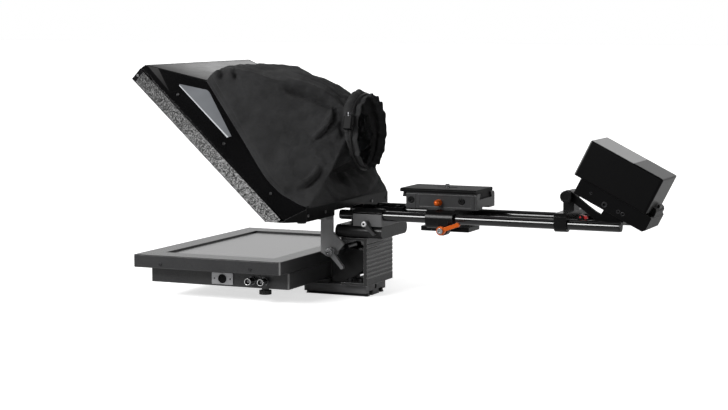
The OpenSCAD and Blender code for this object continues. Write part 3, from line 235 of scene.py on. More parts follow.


# lacquered sheet: matt and darker near one side, painted shade standing in for its fading reflection, and matt along
# its folded lips
def sheetFinish(name, form):
    rough, (less, more) = form["rough"], form["vary"]
    mat, tree, shader = startFinish(name, form["colour"], rough, 0, form["spec"])
    coords = objectCoords(tree)
    parts = splitAxes(tree, coords)
    smear = noiseOn(tree, objectCoords(tree, form["stretch"]), form["smear"], fineDetail)
    feed(tree, shader.inputs["Roughness"], spread(tree, smear, rough - less, rough + more))
    grain = noiseOn(tree, coords, form["grain"], fineDetail)
    bumpFrom(tree, shader, grain, form["bump"], form["depth"], form["edge"])
    # painted shade: matt and darker towards the near side
    dull = spread(tree, parts["X"], 0.0, form["dull"], *form["fade"])
    for axis, start, end, low, high in form["lips"]:
        dull = mathStep(tree, "MAXIMUM", dull, spread(tree, parts[axis], low, high, start, end))
    matt = addNode(tree, "BsdfDiffuse", {"Color": (*form["lipTone"], 1)})
    both = addNode(tree, "MixShader")
    for socket, source in zip(both.inputs, (dull, shader.outputs["BSDF"], matt.outputs["BSDF"])):
        feed(tree, socket, source)
    feed(tree, tree.nodes["Material Output"].inputs["Surface"], both.outputs["Shader"])
    return mat


# hammer finish: shallow round cells under a hard coat
def hammerFinish(name, form):
    mat, tree, shader = startFinish(name, form["colour"], form["rough"], form["metal"])
    coords = objectCoords(tree)
    cells = addNode(tree, "TexVoronoi", {"Vector": coords, "Scale": form["cell"]})
    cells.feature = "SMOOTH_F1"
    cells.inputs["Smoothness"].default_value = form["smooth"]
    fine = noiseOn(tree, coords, form["grain"])
    tone = twoTone(tree, fine, shaded(form["colour"], form["shade"]), form["colour"], *form["split"])
    feed(tree, shader.inputs["Base Color"], tone)
    bumpFrom(tree, shader, cells.outputs["Distance"], form["bump"], form["depth"], form["edge"])
    return mat


# clamp lever with the bright head of its bolt in the hub, and painted shade in the bolt's socket
def hubFinish(name, form):
    mat, tree, shader = startFinish(name, form["colour"], form["rough"], form["metal"])
    coords = objectCoords(tree)
    parts = splitAxes(tree, coords)
    soft = form["soft"]
    squares = [mathStep(tree, "POWER", mathStep(tree, "SUBTRACT", parts[axis], spot), 2)
               for axis, spot in zip("YZ", form["hub"])]
    gap = mathStep(tree, "SQRT", mathStep(tree, "ADD", *squares))
    inside = smoothSpread(tree, gap, form["ring"] - soft, form["ring"] + soft, 1.0, 0.0)
    bore = smoothSpread(tree, gap, form["bore"] - soft, form["bore"] + soft, 0.0, 1.0)
    ring = mathStep(tree, "MULTIPLY", inside, bore)
    hole = mathStep(tree, "SUBTRACT", inside, ring)
    tone = twoTone(tree, ring, form["colour"], form["boltTone"], 0.0, 1.0)
    # painted shade: the bolt's socket coloured near black
    feed(tree, shader.inputs["Base Color"], mixTone(tree, hole, tone, (*form["boreShade"], 1)))
    relief = addShares(tree, zip((noiseOn(tree, coords, form["grain"]), hole), form["relief"]))
    bumpFrom(tree, shader, relief, form["bump"], form["depth"], form["edge"])
    return mat


# loop tape: black and pale fibres mixed, with painted shade darker towards the top
def tapeFinish(name, form):
    mat, tree, shader = startFinish(name, form["light"], form["rough"])
    coords = objectCoords(tree)
    speck = noiseOn(tree, coords, *form["speck"])
    fibres = twoTone(tree, speck, form["dark"], form["light"], *form["split"])
    # painted shade: the tape darkens towards the top
    shade = spread(tree, splitAxes(tree, coords)["Z"], 1.0, form["shade"], *form["fade"])
    feed(tree, shader.inputs["Base Color"], mixTone(tree, 1.0, fibres, shade, "MULTIPLY"))
    bumpFrom(tree, shader, speck, form["bump"], form["depth"])
    shader.inputs["Sheen Weight"].default_value = form["sheen"]
    return mat


# woven cloth: its UV map is in metres along warp and weft
def clothFinish(name, form):
    mat, tree, shader = startFinish(name, form["colour"], form["rough"], 0, form["spec"])
    flat = addNode(tree, "TexCoord").outputs["UV"]
    weave = 1.0
    for turn in (0, math.pi / 2):
        turned = addNode(tree, "Mapping", {"Vector": flat, "Rotation": (0, 0, turn)}).outputs["Vector"]
        inputs = {"Vector": turned, "Scale": form["threads"], "Distortion": form["uneven"], "Detail Scale": 2}
        weave = mathStep(tree, "MULTIPLY", weave, addNode(tree, "TexWave", inputs).outputs["Fac"])
    # two rows of stitches along the hem
    parts = splitAxes(tree, flat)
    ripple = mathStep(tree, "SINE", mathStep(tree, "MULTIPLY", parts["X"], 2 * math.pi / form["stitch"]))
    dash = mathStep(tree, "GREATER_THAN", ripple, form["dash"])
    seam = 0.0
    for row in form["hem"]:
        off = mathStep(tree, "ABSOLUTE", mathStep(tree, "SUBTRACT", parts["Y"], row))
        seam = mathStep(tree, "MAXIMUM", seam, smoothSpread(tree, off, *form["seam"], 1.0, 0.0))
    spot = objectCoords(tree)
    dark, light = (shaded(form["colour"], share) for share in form["patches"])
    tone = twoTone(tree, noiseOn(tree, spot, *form["patch"]), dark, light)
    tone = mixTone(tree, mathStep(tree, "MULTIPLY", seam, dash), tone, (*form["thread"], 1))
    feed(tree, shader.inputs["Base Color"], tone)
    crinkle = noiseOn(tree, spot, *form["crinkle"])
    drape = noiseOn(tree, objectCoords(tree, form["stretch"]), *form["drape"])
    relief = addShares(tree, zip((weave, crinkle, seam, drape), form["relief"]))
    bumpFrom(tree, shader, relief, form["bump"], form["depth"])
    shader.inputs["Sheen Weight"].default_value = form["sheen"]
    shader.inputs["Sheen Roughness"].default_value = form["sheenRough"]
    return mat


# clear partly mirrored glass
def glassFinish(name, form):
    mat, tree, shader = startFinish(name, form["colour"], form["rough"], 0, form["spec"])
    smear = noiseOn(tree, objectCoords(tree), form["smear"], fineDetail)
    feed(tree, shader.inputs["Roughness"], spread(tree, smear, form["rough"], form["rough"] + form["vary"]))
    shader.inputs["Transmission Weight"].default_value = form["clear"]
    shader.inputs["IOR"].default_value = form["ior"]
    return mat


# moulded shell: fine grid on the sides, gloss on the front part of the top
def shellFinish(name, form):
    mat, tree, shader = startFinish(name, form["colour"], form["rough"], 0, form["spec"])
    coords = objectCoords(tree, (1, 1, 1), (form["tilt"], 0, 0))
    parts = splitAxes(tree, coords)
    ahead = smoothSpread(tree, parts["Y"], *form["split"], 1.0, 0.0)
    above = smoothSpread(tree, parts["Z"], *form["top"], 0.0, 1.0)
    label = mathStep(tree, "MULTIPLY", ahead, above)
    feed(tree, shader.inputs["Specular IOR Level"], spread(tree, above, form["spec"], form["topSpec"], 0.0, 1.0))
    tone = twoTone(tree, label, form["colour"], form["labelTone"], 0.0, 1.0)
    for facet in form["facets"]:
        tone = facetTone(tree, tone, facet, coords)
    feed(tree, shader.inputs["Base Color"], tone)
    grid = -1.0
    for axis in "YZ":
        ripple = mathStep(tree, "SINE", mathStep(tree, "MULTIPLY", parts[axis], 2 * math.pi / form["pitch"]))
        grid = mathStep(tree, "MAXIMUM", grid, ripple)
    grid = mathStep(tree, "MULTIPLY", grid, mathStep(tree, "SUBTRACT", 1.0, above))
    relief = addShares(tree, zip((noiseOn(tree, coords, form["grain"]), grid), form["relief"]))
    bumpFrom(tree, shader, relief, form["bump"], form["depth"], form["edge"])
    return mat


# facets whose planes are in metres on the object; all but the socket rim are painted light
# painted reflection: a paler patch on the glossy wing
wingReflection = {"sides": [((0, 1, 1), 0.1046, 0.1056), ((0, 0.815, 0.579), 0.0109, 0.0099), ((0, 0, 1), 0.310, 0.352)],
             "tone": (0.048, 0.048, 0.048)}
# painted highlights along the near rear corners of bezel and housing
bezelEdgeHighlight = {"sides": [((1, 1, 0), 0.1739, 0.1747)], "tone": (0.16, 0.16, 0.16)}
housingEdgeHighlight = {"sides": [((1, 1, 0), 0.1439, 0.1447)], "tone": (0.16, 0.16, 0.16)}
socketRim = {"sides": [((1, 0, 0), 0.1812, 0.1818)], "tone": (0.8, 0.8, 0.8)}
# painted highlight along the label plate's lower edge
plateEdgeHighlight = {"sides": [((0, 0.6815, 0.7316), 0.1017, 0.1010)], "tone": (0.62, 0.64, 0.66)}
# painted highlight at the battery shell's front end, and painted light on its rear face
shellFrontHighlight = {"sides": [((0, 1, 0), 0.2552, 0.2542)], "tone": (0.14, 0.14, 0.14)}
shellRearLight = {"sides": [((0, 1, 0), 0.3738, 0.3742)], "tone": (0.09, 0.09, 0.09)}

# what two finishes share
hammer = {"make": hammerFinish, "rough": 0.4, "metal": 0.3, "cell": 420, "smooth": 0.6, "grain": 1680,
          "shade": 0.7, "split": (0.35, 0.65), "bump": 0.35, "depth": 0.0005, "edge": 0.0008}
lever = {"make": hubFinish, "metal": 0.5, "soft": 0.0002, "boltTone": (0.75, 0.75, 0.76),
         "boreShade": (0.004, 0.004, 0.004), "grain": 1500, "relief": (0.15, -1.0),
         "bump": 0.4, "depth": 0.0006, "edge": 0.0006}
caseGrey = {"colour": (0.021, 0.021, 0.022), "rough": 0.3, "wearAndHighlight": 0.09, "bump": 0.12, "edge": 0.0009}
rodCoat = {"grain": 1200, "bump": 0.02, "vary": 0.02}

# every finish, with the nodes that it goes on
coats = {
    # base and riser
    "railGrey": {"on": ["dovetail_rail"], "colour": (0.085, 0.085, 0.0865), "rough": 0.34, "metal": 0.4,
                 "grain": 1600, "bump": 0.12, "stretch": (1, 0.06, 1), "patch": 60, "shade": 0.6, "tint": 1.4},
    # the riser's pale rib edges are mostly painted highlight, partly wear
    "riserBlack": {"on": ["riser"], "colour": (0.022, 0.022, 0.0223), "rough": 0.24, "spec": 0.35,
                   "wearAndHighlight": 0.32, "bump": 0.08, "edge": 0.001},
    "saddleBlack": {"on": ["saddle", "tilt_yoke", "monitor_bracket"], "colour": (0.016, 0.016, 0.0163),
                    "rough": 0.24, "spec": 0.2, "wearAndHighlight": 0.06, "bump": 0.08},
    "hammerDark": {**hammer, "on": ["front_clamp"], "colour": (0.11, 0.11, 0.112)},
    "clampLever": {**lever, "on": ["front_lever"], "colour": (0.05, 0.05, 0.051), "rough": 0.3,
                   "hub": (0.0605, 0.117), "ring": 0.0042, "bore": 0.0017},
    # monitor
    "monitorGrey": {**caseGrey, "on": ["monitor_bezel"], "facets": [bezelEdgeHighlight]},
    "housingGrey": {**caseGrey, "on": ["monitor_housing"], "facets": [housingEdgeHighlight]},
    "screenFilm": {"on": ["screen"], "colour": (0.02, 0.02, 0.021), "rough": 0.2,
                   "grain": 2600, "bump": 0.02, "vary": 0.02},
    "panelGrey": {"on": ["lcd_panel"], "colour": (0.4, 0.4, 0.4), "rough": 0.5, "grain": 900},
    "boardGreen": {"on": ["controller_board"], "colour": (0.02, 0.12, 0.04), "rough": 0.4, "grain": 900},
    "silverPlate": {"on": ["power_inlet"], "colour": (0.42, 0.42, 0.43), "rough": 0.34, "metal": 0.8,
                    "grain": 1700, "bump": 0.06, "stretch": (1, 1, 8)},
    "socketSteel": {"on": ["video_sockets"], "colour": (0.16, 0.16, 0.165), "rough": 0.16, "metal": 0.9,
                    "bump": 0.08, "facets": [socketRim]},
    # hood
    "wingGloss": {"on": ["hood_frame", "wing_left", "wing_right"], "colour": (0.0045, 0.0045, 0.0048),
                  "rough": 0.16, "grain": 500, "bump": 0.03, "vary": 0.02, "facets": [wingReflection]},
    # top panel: painted shade, matt and darker towards its near side
    "panelGloss": {"make": sheetFinish, "on": ["top_panel"], "colour": (0.012, 0.012, 0.0124),
                   "rough": 0.2, "vary": (0.03, 0.04), "spec": 0.7, "smear": 25, "stretch": (1, 3, 1),
                   "grain": 500, "bump": 0.03, "depth": 0.0002, "edge": 0.0006,
                   "dull": 0.75, "fade": (0.02, 0.165), "lipTone": (0.02, 0.02, 0.02),
                   "lips": [("Y", -0.2526, -0.2518, 0.55, 0.0), ("X", -0.1665, -0.1655, 0.75, 0.0)]},
    "baseBlack": {"on": ["hood_base"], "colour": (0.004, 0.004, 0.0042), "rough": 0.3, "spec": 0.08,
                  "wearAndHighlight": 0.1, "bump": 0.1, "edge": 0.0009},
    "mirrorGlass": {"make": glassFinish, "on": ["glass"], "colour": (0.82, 0.86, 0.87), "rough": 0.02, "vary": 0.03,
                    "spec": 0.6, "smear": 9, "clear": 0.9, "ior": 1.52},
    "loopTape": {"make": tapeFinish, "on": ["loop_tapes"], "rough": 0.85,
                 "speck": (560, 3, 0.75), "split": (0.47, 0.58),
                 "dark": (0.003, 0.003, 0.003), "light": (0.33, 0.33, 0.33), "fade": (0.2, 0.35), "shade": 0.4,
                 "bump": 0.8, "depth": 0.0008, "sheen": 0.2},
    "labelPlate": {"on": ["side_plate"], "colour": (0.17, 0.178, 0.19), "rough": 0.4,
                   "grain": 1700, "bump": 0.04, "facets": [plateEdgeHighlight]},
    "hammerGrey": {**hammer, "on": ["hood_arm_left", "hood_arm_right"], "colour": (0.24, 0.24, 0.243)},
    "hingeLever": {**lever, "on": ["hood_lever"], "colour": (0.17, 0.17, 0.174), "rough": 0.33,
                   "hub": (0.006, 0.0725), "ring": 0.0046, "bore": 0.0022},
    "shroudCloth": {"make": clothFinish, "on": [], "colour": (0.0285, 0.0285, 0.0293), "rough": 0.92, "spec": 0.25,
                    "sheen": 0.03, "sheenRough": 0.5, "patch": (24, 6, 0.62), "patches": (0.62, 1.25),
                    "threads": 700, "uneven": 1.5, "crinkle": (160, 4, 0.6),
                    "drape": (48, 3, 0.55), "stretch": (1, 1, 1.6),
                    "hem": (0.0052, 0.0115), "seam": (0.0003, 0.0009), "stitch": 0.004, "dash": -0.35,
                    "thread": (0.036, 0.036, 0.037), "relief": (0.35, 1.2, -0.5, 3.2), "bump": 0.8, "depth": 0.0011},
    # rods and sled
    "rodBlack": {**rodCoat, "on": ["rod_left"], "colour": (0.007, 0.007, 0.0073), "rough": 0.08,
                 "coat": 0.42, "coatRough": 0.06},
    # painted shade: the far rod gets a darker, duller copy of the near rod's coat
    "rodShaded": {**rodCoat, "on": ["rod_right"], "colour": (0.005, 0.005, 0.0053), "rough": 0.1, "spec": 0.35,
                "coat": 0.2, "coatRough": 0.08},
    "clampBlack": {"on": ["sled_clamp", "bottom_plate", "rear_clamp"], "colour": (0.003, 0.003, 0.0031),
                   "rough": 0.26, "spec": 0.2, "wearAndHighlight": 0.06, "bump": 0.1},
    "capBlack": {"on": ["clamp_caps"], "colour": (0.005, 0.005, 0.0052), "rough": 0.2, "spec": 0.25, "bump": 0.06},
    "anodGrey": {"on": ["receiver"], "colour": (0.024, 0.024, 0.025), "rough": 0.34, "metal": 0.2,
                 "wearAndHighlight": 0.12, "grain": 1600, "bump": 0.1, "edge": 0.001},
    "orangeAnod": {"on": ["release_button", "sled_lever"], "colour": (0.62, 0.105, 0.006), "rough": 0.24,
                   "metal": 0.45, "bump": 0.06},
    # battery bracket
    "redAnod": {"on": ["red_lever"], "colour": (0.5, 0.02, 0.02), "rough": 0.3, "metal": 0.4, "bump": 0.06},
    "batteryShell": {"make": shellFinish, "on": ["battery"], "colour": (0.003, 0.003, 0.0032), "rough": 0.34,
                     "spec": 0.09, "topSpec": 0.3, "tilt": math.radians(26.8),
                     "split": (0.3241, 0.3249), "top": (0.4116, 0.4122),
                     "labelTone": (0.42, 0.42, 0.42), "facets": [shellRearLight, shellFrontHighlight], "pitch": 0.0022,
                     "grain": 1500, "relief": (0.5, 0.25), "bump": 0.2, "depth": 0.0003, "edge": 0.0009},
    # pieces in more than one group, and screws
    "blackCoat": {"on": ["glass_retainers", "battery_arm", "battery_plate"], "colour": (0.003, 0.003, 0.0032),
                  "rough": 0.34, "spec": 0.07, "wearAndHighlight": 0.06, "grain": 1400},
    "plateBlack": {"on": ["camera_plate", "inlet_insert", "cord_lock", "tilt_knob"], "colour": (0.005, 0.005, 0.0052),
                   "rough": 0.5, "spec": 0.09, "wearAndHighlight": 0.05, "bump": 0.15},
    "blackPlastic": {"on": ["monitor_knob_left", "monitor_knob_right", "hood_knob_left", "hood_knob_right",
                            "rod_caps", "battery_catch", "draw_cord"],
                     "colour": (0.009, 0.009, 0.009), "rough": 0.4, "grain": 1700, "bump": 0.15},
    "screwBlack": {"on": ["receiver_screws"], "colour": (0.0015, 0.0015, 0.0016), "rough": 0.22,
                   "spec": 0.3, "bump": 0.08},
    "screwSteel": {"on": ["hood_screws"], "colour": (0.27, 0.27, 0.275), "rough": 0.34, "metal": 1.0, "bump": 0.08},
    "bareSteel": {"on": ["hinge_pin", "camera_screw", "sled_bolt"], "colour": (0.56, 0.56, 0.57), "rough": 0.22,
                  "metal": 1.0, "grain": 1800, "bump": 0.08, "stretch": (1, 6, 1)},
    "darkSteel": {"on": ["riser_bolts", "bezel_screws", "plate_sockets", "cord_lock_button"],
                  "colour": (0.04, 0.04, 0.042), "rough": 0.26, "metal": 0.7, "bump": 0.08},
}
finishes = {}
for name, form in coats.items():
    finishes[name] = form.get("make", grainFinish)(name, form)
    for node in form["on"]:
        dress(nodes[node], finishes[name])
print("finishes on", sum(len(form["on"]) for form in coats.values()), "nodes")

# stage: pale floor that stays light far off, white surround for camera, soft lamps
room = {
    "floorSize": 40.0, "floorDrop": 0.0005, "floorTone": (0.85, 0.85, 0.85), "floorShade": (0.26, 0.26, 0.26),
    "floorRough": 0.9, "floorSpec": 0.1, "nearGlow": 0.66, "farGlow": 1.0, "nearBy": 0.5, "farOff": 2.6,
    "behind": (-0.92, -0.39, 0.0), "fill": 0.06, "farFill": 1.3, "gloss": 0.95, "dark": 0.05,
    # where each change starts and ends: metres on the floor, shares of the way to the backdrop or up
    "floorTurn": (-0.6, 0.1), "glossTurn": (-0.1, 0.75), "glossRise": (0.3, 0.65), "fillTurn": (0.0, 0.8),
}


def makeFloor():
    deselectAll()
    bpy.ops.mesh.primitive_plane_add(size=room["floorSize"], location=(0, 0, -room["floorDrop"]))
    floor = bpy.context.object
    floor.name = "floor"
    mat, tree, shader = startFinish("floorPaper", room["floorTone"], room["floorRough"], 0, room["floorSpec"])
    path = addNode(tree, "LightPath").outputs
    spot = objectCoords(tree)
    away = vectorStep(tree, "LENGTH", spot)
    glow = smoothSpread(tree, away, room["nearBy"], room["farOff"], room["nearGlow"], room["farGlow"])
    shader.inputs["Emission Color"].default_value = (1, 1, 1, 1)
    feed(tree, shader.inputs["Emission Strength"], mathStep(tree, "MULTIPLY", path["Is Camera Ray"], glow))
    # in reflections the floor on this side of the object is dark, as the room is
    side = smoothSpread(tree, vectorStep(tree, "DOT_PRODUCT", spot, room["behind"]), *room["floorTurn"], 1.0, 0.0)
    shade = mathStep(tree, "MULTIPLY", path["Is Glossy Ray"], side)
    feed(tree, shader.inputs["Base Color"], twoTone(tree, shade, room["floorTone"], room["floorShade"], 0.0, 1.0))
    dress(floor, mat)


def makeWorld():
    world = bpy.data.worlds.new("softRoom")
    bpy.context.scene.world = world
    world.use_nodes = True
    sky = world.node_tree
    path = addNode(sky, "LightPath").outputs
    way = addNode(sky, "TexCoord").outputs["Generated"]
    toBack = vectorStep(sky, "DOT_PRODUCT", way, room["behind"])
    # reflections see the white backdrop behind the object and a dark room on this side
    slope = smoothSpread(sky, toBack, *room["glossTurn"], room["dark"], room["gloss"])
    low = smoothSpread(sky, splitAxes(sky, way)["Z"], *room["glossRise"], 1.0, room["dark"])
    glossy = mathStep(sky, "MULTIPLY", path["Is Glossy Ray"], mathStep(sky, "MULTIPLY", slope, low))
    seen = mathStep(sky, "MAXIMUM", path["Is Camera Ray"], path["Is Transmission Ray"])
    # soft fill, most of it from the backdrop
    around = smoothSpread(sky, toBack, *room["fillTurn"], room["fill"], room["farFill"])
    soft = mathStep(sky, "MULTIPLY", path["Is Diffuse Ray"], around)
    background = sky.nodes["Background"]
    background.inputs["Color"].default_value = (1, 1, 1, 1)
    feed(sky, background.inputs["Strength"], mathStep(sky, "ADD", mathStep(sky, "ADD", glossy, seen), soft))


lamps = {
    "softBox": {"spot": (2.1, -0.92, 1.35), "aim": (0, 0, 0.2), "size": (1.5, 1.0), "watts": 70},
    "sideStrip": {"spot": (1.0, 2.3, 0.9), "aim": (0, 0.05, 0.2), "size": (0.25, 1.6), "watts": 7},
    "overhead": {"spot": (-0.2, 0.1, 2.3), "aim": (0, 0, 0.2), "size": (1.5, 1.5), "watts": 2.4},
}


def makeLamp(name, form):
    lampData = bpy.data.lights.new(name, "AREA")
    lampData.shape = "RECTANGLE"
    lampData.size, lampData.size_y = form["size"]
    lampData.energy = form["watts"]
    lamp = bpy.data.objects.new(name, lampData)
    lamp.location = form["spot"]
    lamp.rotation_mode = "QUATERNION"
    lamp.rotation_quaternion = (Vector(form["aim"]) - Vector(form["spot"])).to_track_quat("-Z", "Y")
    bpy.context.scene.collection.objects.link(lamp)


makeFloor()
makeWorld()
for name, form in lamps.items():
    makeLamp(name, form)
bpy.context.scene.view_settings.view_transform = "Standard"
print("stage and lamps set")

# the hood's own planes, on which the cloth's rim lies a little proud
hood = {
    "foot": (0.0, -0.0495, 0.1271), "angle": math.radians(43), "half": 0.182, "length": 0.309, "thick": 0.022,
    "wingLean": math.radians(48), "wingProud": (0.0012, 0.0013),
    "panelLean": math.radians(27), "panelStart": 0.029, "panelRim": 0.074, "panelProud": (0.0008, 0.0016),
}
# shroud: four gores between the rim on the hood and the drawn collar
shroud = {
    "columns": {"top": 56, "side": 70, "rear": 64}, "rings": 84, "cloth": 0.0008, "weaveStep": (0.0048, 0.0026),
    # rim: along the wing and above the frame, round the panel, across the base
    "wingRim": [(0.735, 0.0658), (0.62, 0.0608), (0.5, 0.0555), (0.38, 0.0502), (0.26, 0.0444), (0.15, 0.0402),
                (0.06, 0.0405), (0.0, 0.0442), (-0.05, 0.0476)],
    "corner": (0.747, 0.0664), "topHalf": 0.128, "rimRound": 0.012, "rimPower": 4,
    "baseCorner": (0.150, 0.0085, 0.1475),
    # edges between the gores
    "creaseNear": [(0.131, -0.168, 0.341), (0.126, -0.160, 0.3475), (0.116, -0.143, 0.3500), (0.108, -0.126, 0.3465),
                   (0.095, -0.104, 0.3385), (0.085, -0.088, 0.3348), (0.075, -0.067, 0.3330), (0.064, -0.045, 0.3300),
                   (0.055, -0.028, 0.3235), (0.044, -0.010, 0.3150)],
    "creaseFar": [(-0.131, -0.168, 0.341), (-0.124, -0.160, 0.3465), (-0.105, -0.150, 0.3475),
                  (-0.082, -0.125, 0.3490), (-0.070, -0.103, 0.3425), (-0.055, -0.060, 0.3310),
                  (-0.044, -0.014, 0.3150)],
    "ridgeNear": [(0.142, 0.0115, 0.158), (0.118, 0.017, 0.180), (0.088, 0.022, 0.208)],
    "ridgeFar": [(-0.142, 0.0085, 0.156), (-0.131, 0.0060, 0.168), (-0.120, 0.0030, 0.184), (-0.090, 0.012, 0.212)],
    "spine": [(0.020, -0.175, 0.3490), (0.020, -0.157, 0.3565), (0.0, -0.110, 0.3505), (0.0, -0.080, 0.3450),
              (0.0, -0.040, 0.3320)],
    # how fast a gore leaves its edges, and how it hangs
    "draw": {"side": 1.7, "rear": 1.5, "top": 1.0}, "crown": 0.8, "start": 8,
    "sag": {"move": (0.0, 0.011, -0.009), "ring": 0.3, "reach": 0.2, "shape": 0.6},
    "hollow": {"move": (0.0, -0.034, 0.004), "ring": 0.66, "reach": 0.22, "shape": 0.4},
    "crisp": {"move": 0.0038, "ring": 0.34, "reach": 0.11},
    "soft": {"move": 0.0028, "scale": 26, "seed": (3.1, 0.7, 5.2)},
    "crinkle": {"move": 0.0008, "atNeck": 0.0012, "rise": 4, "scale": 85, "seed": (0.4, 9.1, 2.6)},
    # neck and collar
    "neckY": 0.022, "neckTilt": 0.011, "neckZ": 0.2541, "neckRadius": 0.050,
    "creaseTurn": math.radians(36), "ridgeTurn": math.radians(98),
    "collarRings": 18, "cordY": 0.035, "cordRadius": 0.0543, "endY": 0.0465, "endRadius": 0.0575,
    "collarGather": 0.0024, "gatherRise": 5, "cordTight": 0.45, "frillLoose": 0.6,
    "puff": 0.0055, "topPuff": 0.0065, "puffLeast": 0.004,
    # two waves of gathers: share and count, then how far, how often and from where each is bent
    "gathers": [(0.6, 15, 1.4, 2, 0.6), (0.4, 23, 2.1, 3, 0.0)],
    # a fold's form in its own widths, and the far side's folds: share of the near one's, shift, most
    "foldSteps": 26, "foldReach": 3.4, "lipAt": 1.7, "foldTaper": 0.7, "foldEnds": (0.02, 0.98),
    "farAcross": (1.04, 0.0, 0.97), "farAlong": (0.95, 0.02, 0.98),
    # folds: way as shares across the gore and from rim to neck, then width, depth and lip
    "folds": {
        "side": [
            ([(0.66, 0.62), (0.60, 0.80), (0.47, 0.88), (0.14, 0.94)], 0.0037, 0.0086, 0.75),
            ([(0.50, 0.985), (0.70, 0.97), (0.89, 0.96)], 0.004, 0.0045, 0.5),
            ([(0.07, 0.54), (0.10, 0.70), (0.14, 0.84), (0.20, 0.95)], 0.0085, 0.0200, 0.1),
            ([(0.895, 0.15), (0.915, 0.27), (0.925, 0.38), (0.915, 0.50)], 0.0037, 0.0072, 1.0),
            ([(0.56, 0.76), (0.53, 0.86), (0.41, 0.94)], 0.0034, 0.0036, 0.7),
            ([(0.64, 0.72), (0.65, 0.83), (0.60, 0.94)], 0.0034, 0.0036, 0.7),
            ([(0.44, 0.50), (0.40, 0.66), (0.37, 0.82)], 0.008, 0.0026, 0.5),
            ([(0.54, 0.27), (0.62, 0.16), (0.69, 0.09)], 0.012, 0.0026, 0.4),
            ([(0.06, 0.195), (0.03, 0.205), (0.0, 0.225)], 0.0040, 0.0085, 0.4),
            ([(0.05, 0.09), (0.03, 0.11), (0.0, 0.14)], 0.0040, 0.0080, 0.5),
            ([(0.20, 0.02), (0.23, 0.17)], 0.006, 0.0018, 0.5),
            ([(0.34, 0.02), (0.36, 0.15)], 0.006, 0.0020, 0.5),
            ([(0.47, 0.02), (0.50, 0.16)], 0.006, 0.0018, 0.5),
            ([(0.82, 0.04), (0.88, 0.10), (0.95, 0.16)], 0.008, 0.0060, 0.5),
            ([(0.0, 0.24), (0.0, 0.38), (0.0, 0.56)], 0.0046, -0.0026, 0.0),
        ],
        "rear": [
            ([(0.03, 0.34), (0.16, 0.23), (0.31, 0.01)], 0.0030, 0.0032, 0.5),
            ([(0.10, 0.99), (0.14, 0.78), (0.20, 0.55)], 0.008, 0.0070, 0.6),
            ([(0.30, 0.99), (0.32, 0.75), (0.35, 0.50)], 0.007, 0.0050, 0.6),
            ([(0.47, 0.99), (0.46, 0.70), (0.42, 0.40)], 0.009, 0.0060, 0.5),
            ([(0.66, 0.99), (0.64, 0.76), (0.66, 0.48)], 0.007, 0.0055, 0.6),
            ([(0.86, 0.99), (0.83, 0.74), (0.78, 0.46)], 0.008, 0.0065, 0.6),
            ([(0.62, 0.06), (0.80, 0.16), (0.96, 0.20)], 0.007, 0.0040, 0.6),
        ],
        "top": [
            ([(0.26, 0.98), (0.30, 0.78), (0.36, 0.58)], 0.006, 0.0045, 0.6),
            ([(0.50, 0.98), (0.52, 0.80), (0.50, 0.62)], 0.006, 0.0050, 0.6),
            ([(0.76, 0.98), (0.70, 0.80), (0.66, 0.60)], 0.006, 0.0045, 0.6),
            ([(0.14, 0.02), (0.17, 0.17)], 0.006, 0.0036, 0.6),
            ([(0.29, 0.01), (0.30, 0.20)], 0.007, 0.0034, 0.6),
            ([(0.46, 0.01), (0.45, 0.17)], 0.006, 0.0036, 0.6),
            ([(0.63, 0.01), (0.60, 0.21)], 0.007, 0.0034, 0.6),
            ([(0.83, 0.02), (0.80, 0.17)], 0.006, 0.0036, 0.6),
            ([(0.20, 0.34), (0.45, 0.40), (0.75, 0.36)], 0.012, 0.0030, 0.5),
        ],
    },
}


# u across the hood, v up its frame, n away from the glass
def hoodPoint(u, v, n):
    c, s = math.cos(hood["angle"]), math.sin(hood["angle"])
    x, y, z = hood["foot"]
    return Vector((x + u, y - v * c + n * s, z + v * s + n * c))


def wingPoint(share, n, side):
    out, off = hood["wingProud"]
    u = hood["half"] - (n - hood["thick"]) * math.tan(hood["wingLean"])
    return hoodPoint(side * (u + out), share * hood["length"], n + off)


def panelPoint(u, d):
    along, off = hood["panelProud"]
    lean = hood["panelLean"]
    return hoodPoint(u, hood["length"] - d * math.cos(lean) + along, hood["panelStart"] + d * math.sin(lean) + off)


def neckPoint(turn):
    r = shroud["neckRadius"]
    y = shroud["neckY"] - shroud["neckTilt"] * math.cos(turn)
    return Vector((r * math.sin(turn), y, shroud["neckZ"] + r * math.cos(turn)))


def neckArc(start, end, count):
    return [neckPoint(start + (end - start) * k / count) for k in range(count + 1)]


def flip(point):
    return Vector((-point.x, point.y, point.z))


# smooth curve through the points, then even steps by length
def smoothLine(points, count, steps=24):
    fine = []
    last = len(points) - 1
    for k in range(last):
        p0, p1, p2, p3 = points[max(k - 1, 0)], points[k], points[k + 1], points[min(k + 2, last)]
        for j in range(steps):
            f = j / steps
            fine.append(0.5 * ((2 * p1) + (p2 - p0) * f + (2 * p0 - 5 * p1 + 4 * p2 - p3) * f * f
                               + (3 * p1 - p0 - 3 * p2 + p3) * f ** 3))
    fine.append(points[last].copy())
    lengths = [0.0]
    for k in range(1, len(fine)):
        lengths.append(lengths[-1] + (fine[k] - fine[k - 1]).length)
    line, k = [], 0
    for j in range(count + 1):
        want = lengths[-1] * j / count
        while k < len(fine) - 2 and lengths[k + 1] < want:
            k += 1
        span = lengths[k + 1] - lengths[k]
        line.append(fine[k].lerp(fine[k + 1], (want - lengths[k]) / span if span else 0))
    return line


# uneven gathers round the neck, between -1 and 1
def gatherWave(turn):
    return sum(share * math.cos(count * turn + bend * math.sin(bends * turn + start))
               for share, count, bend, bends, start in shroud["gathers"])


# 1 on one ring of the cloth, fading to both sides
def nearRing(t, form):
    return math.exp(-((t - form["ring"]) / form["reach"]) ** 2)


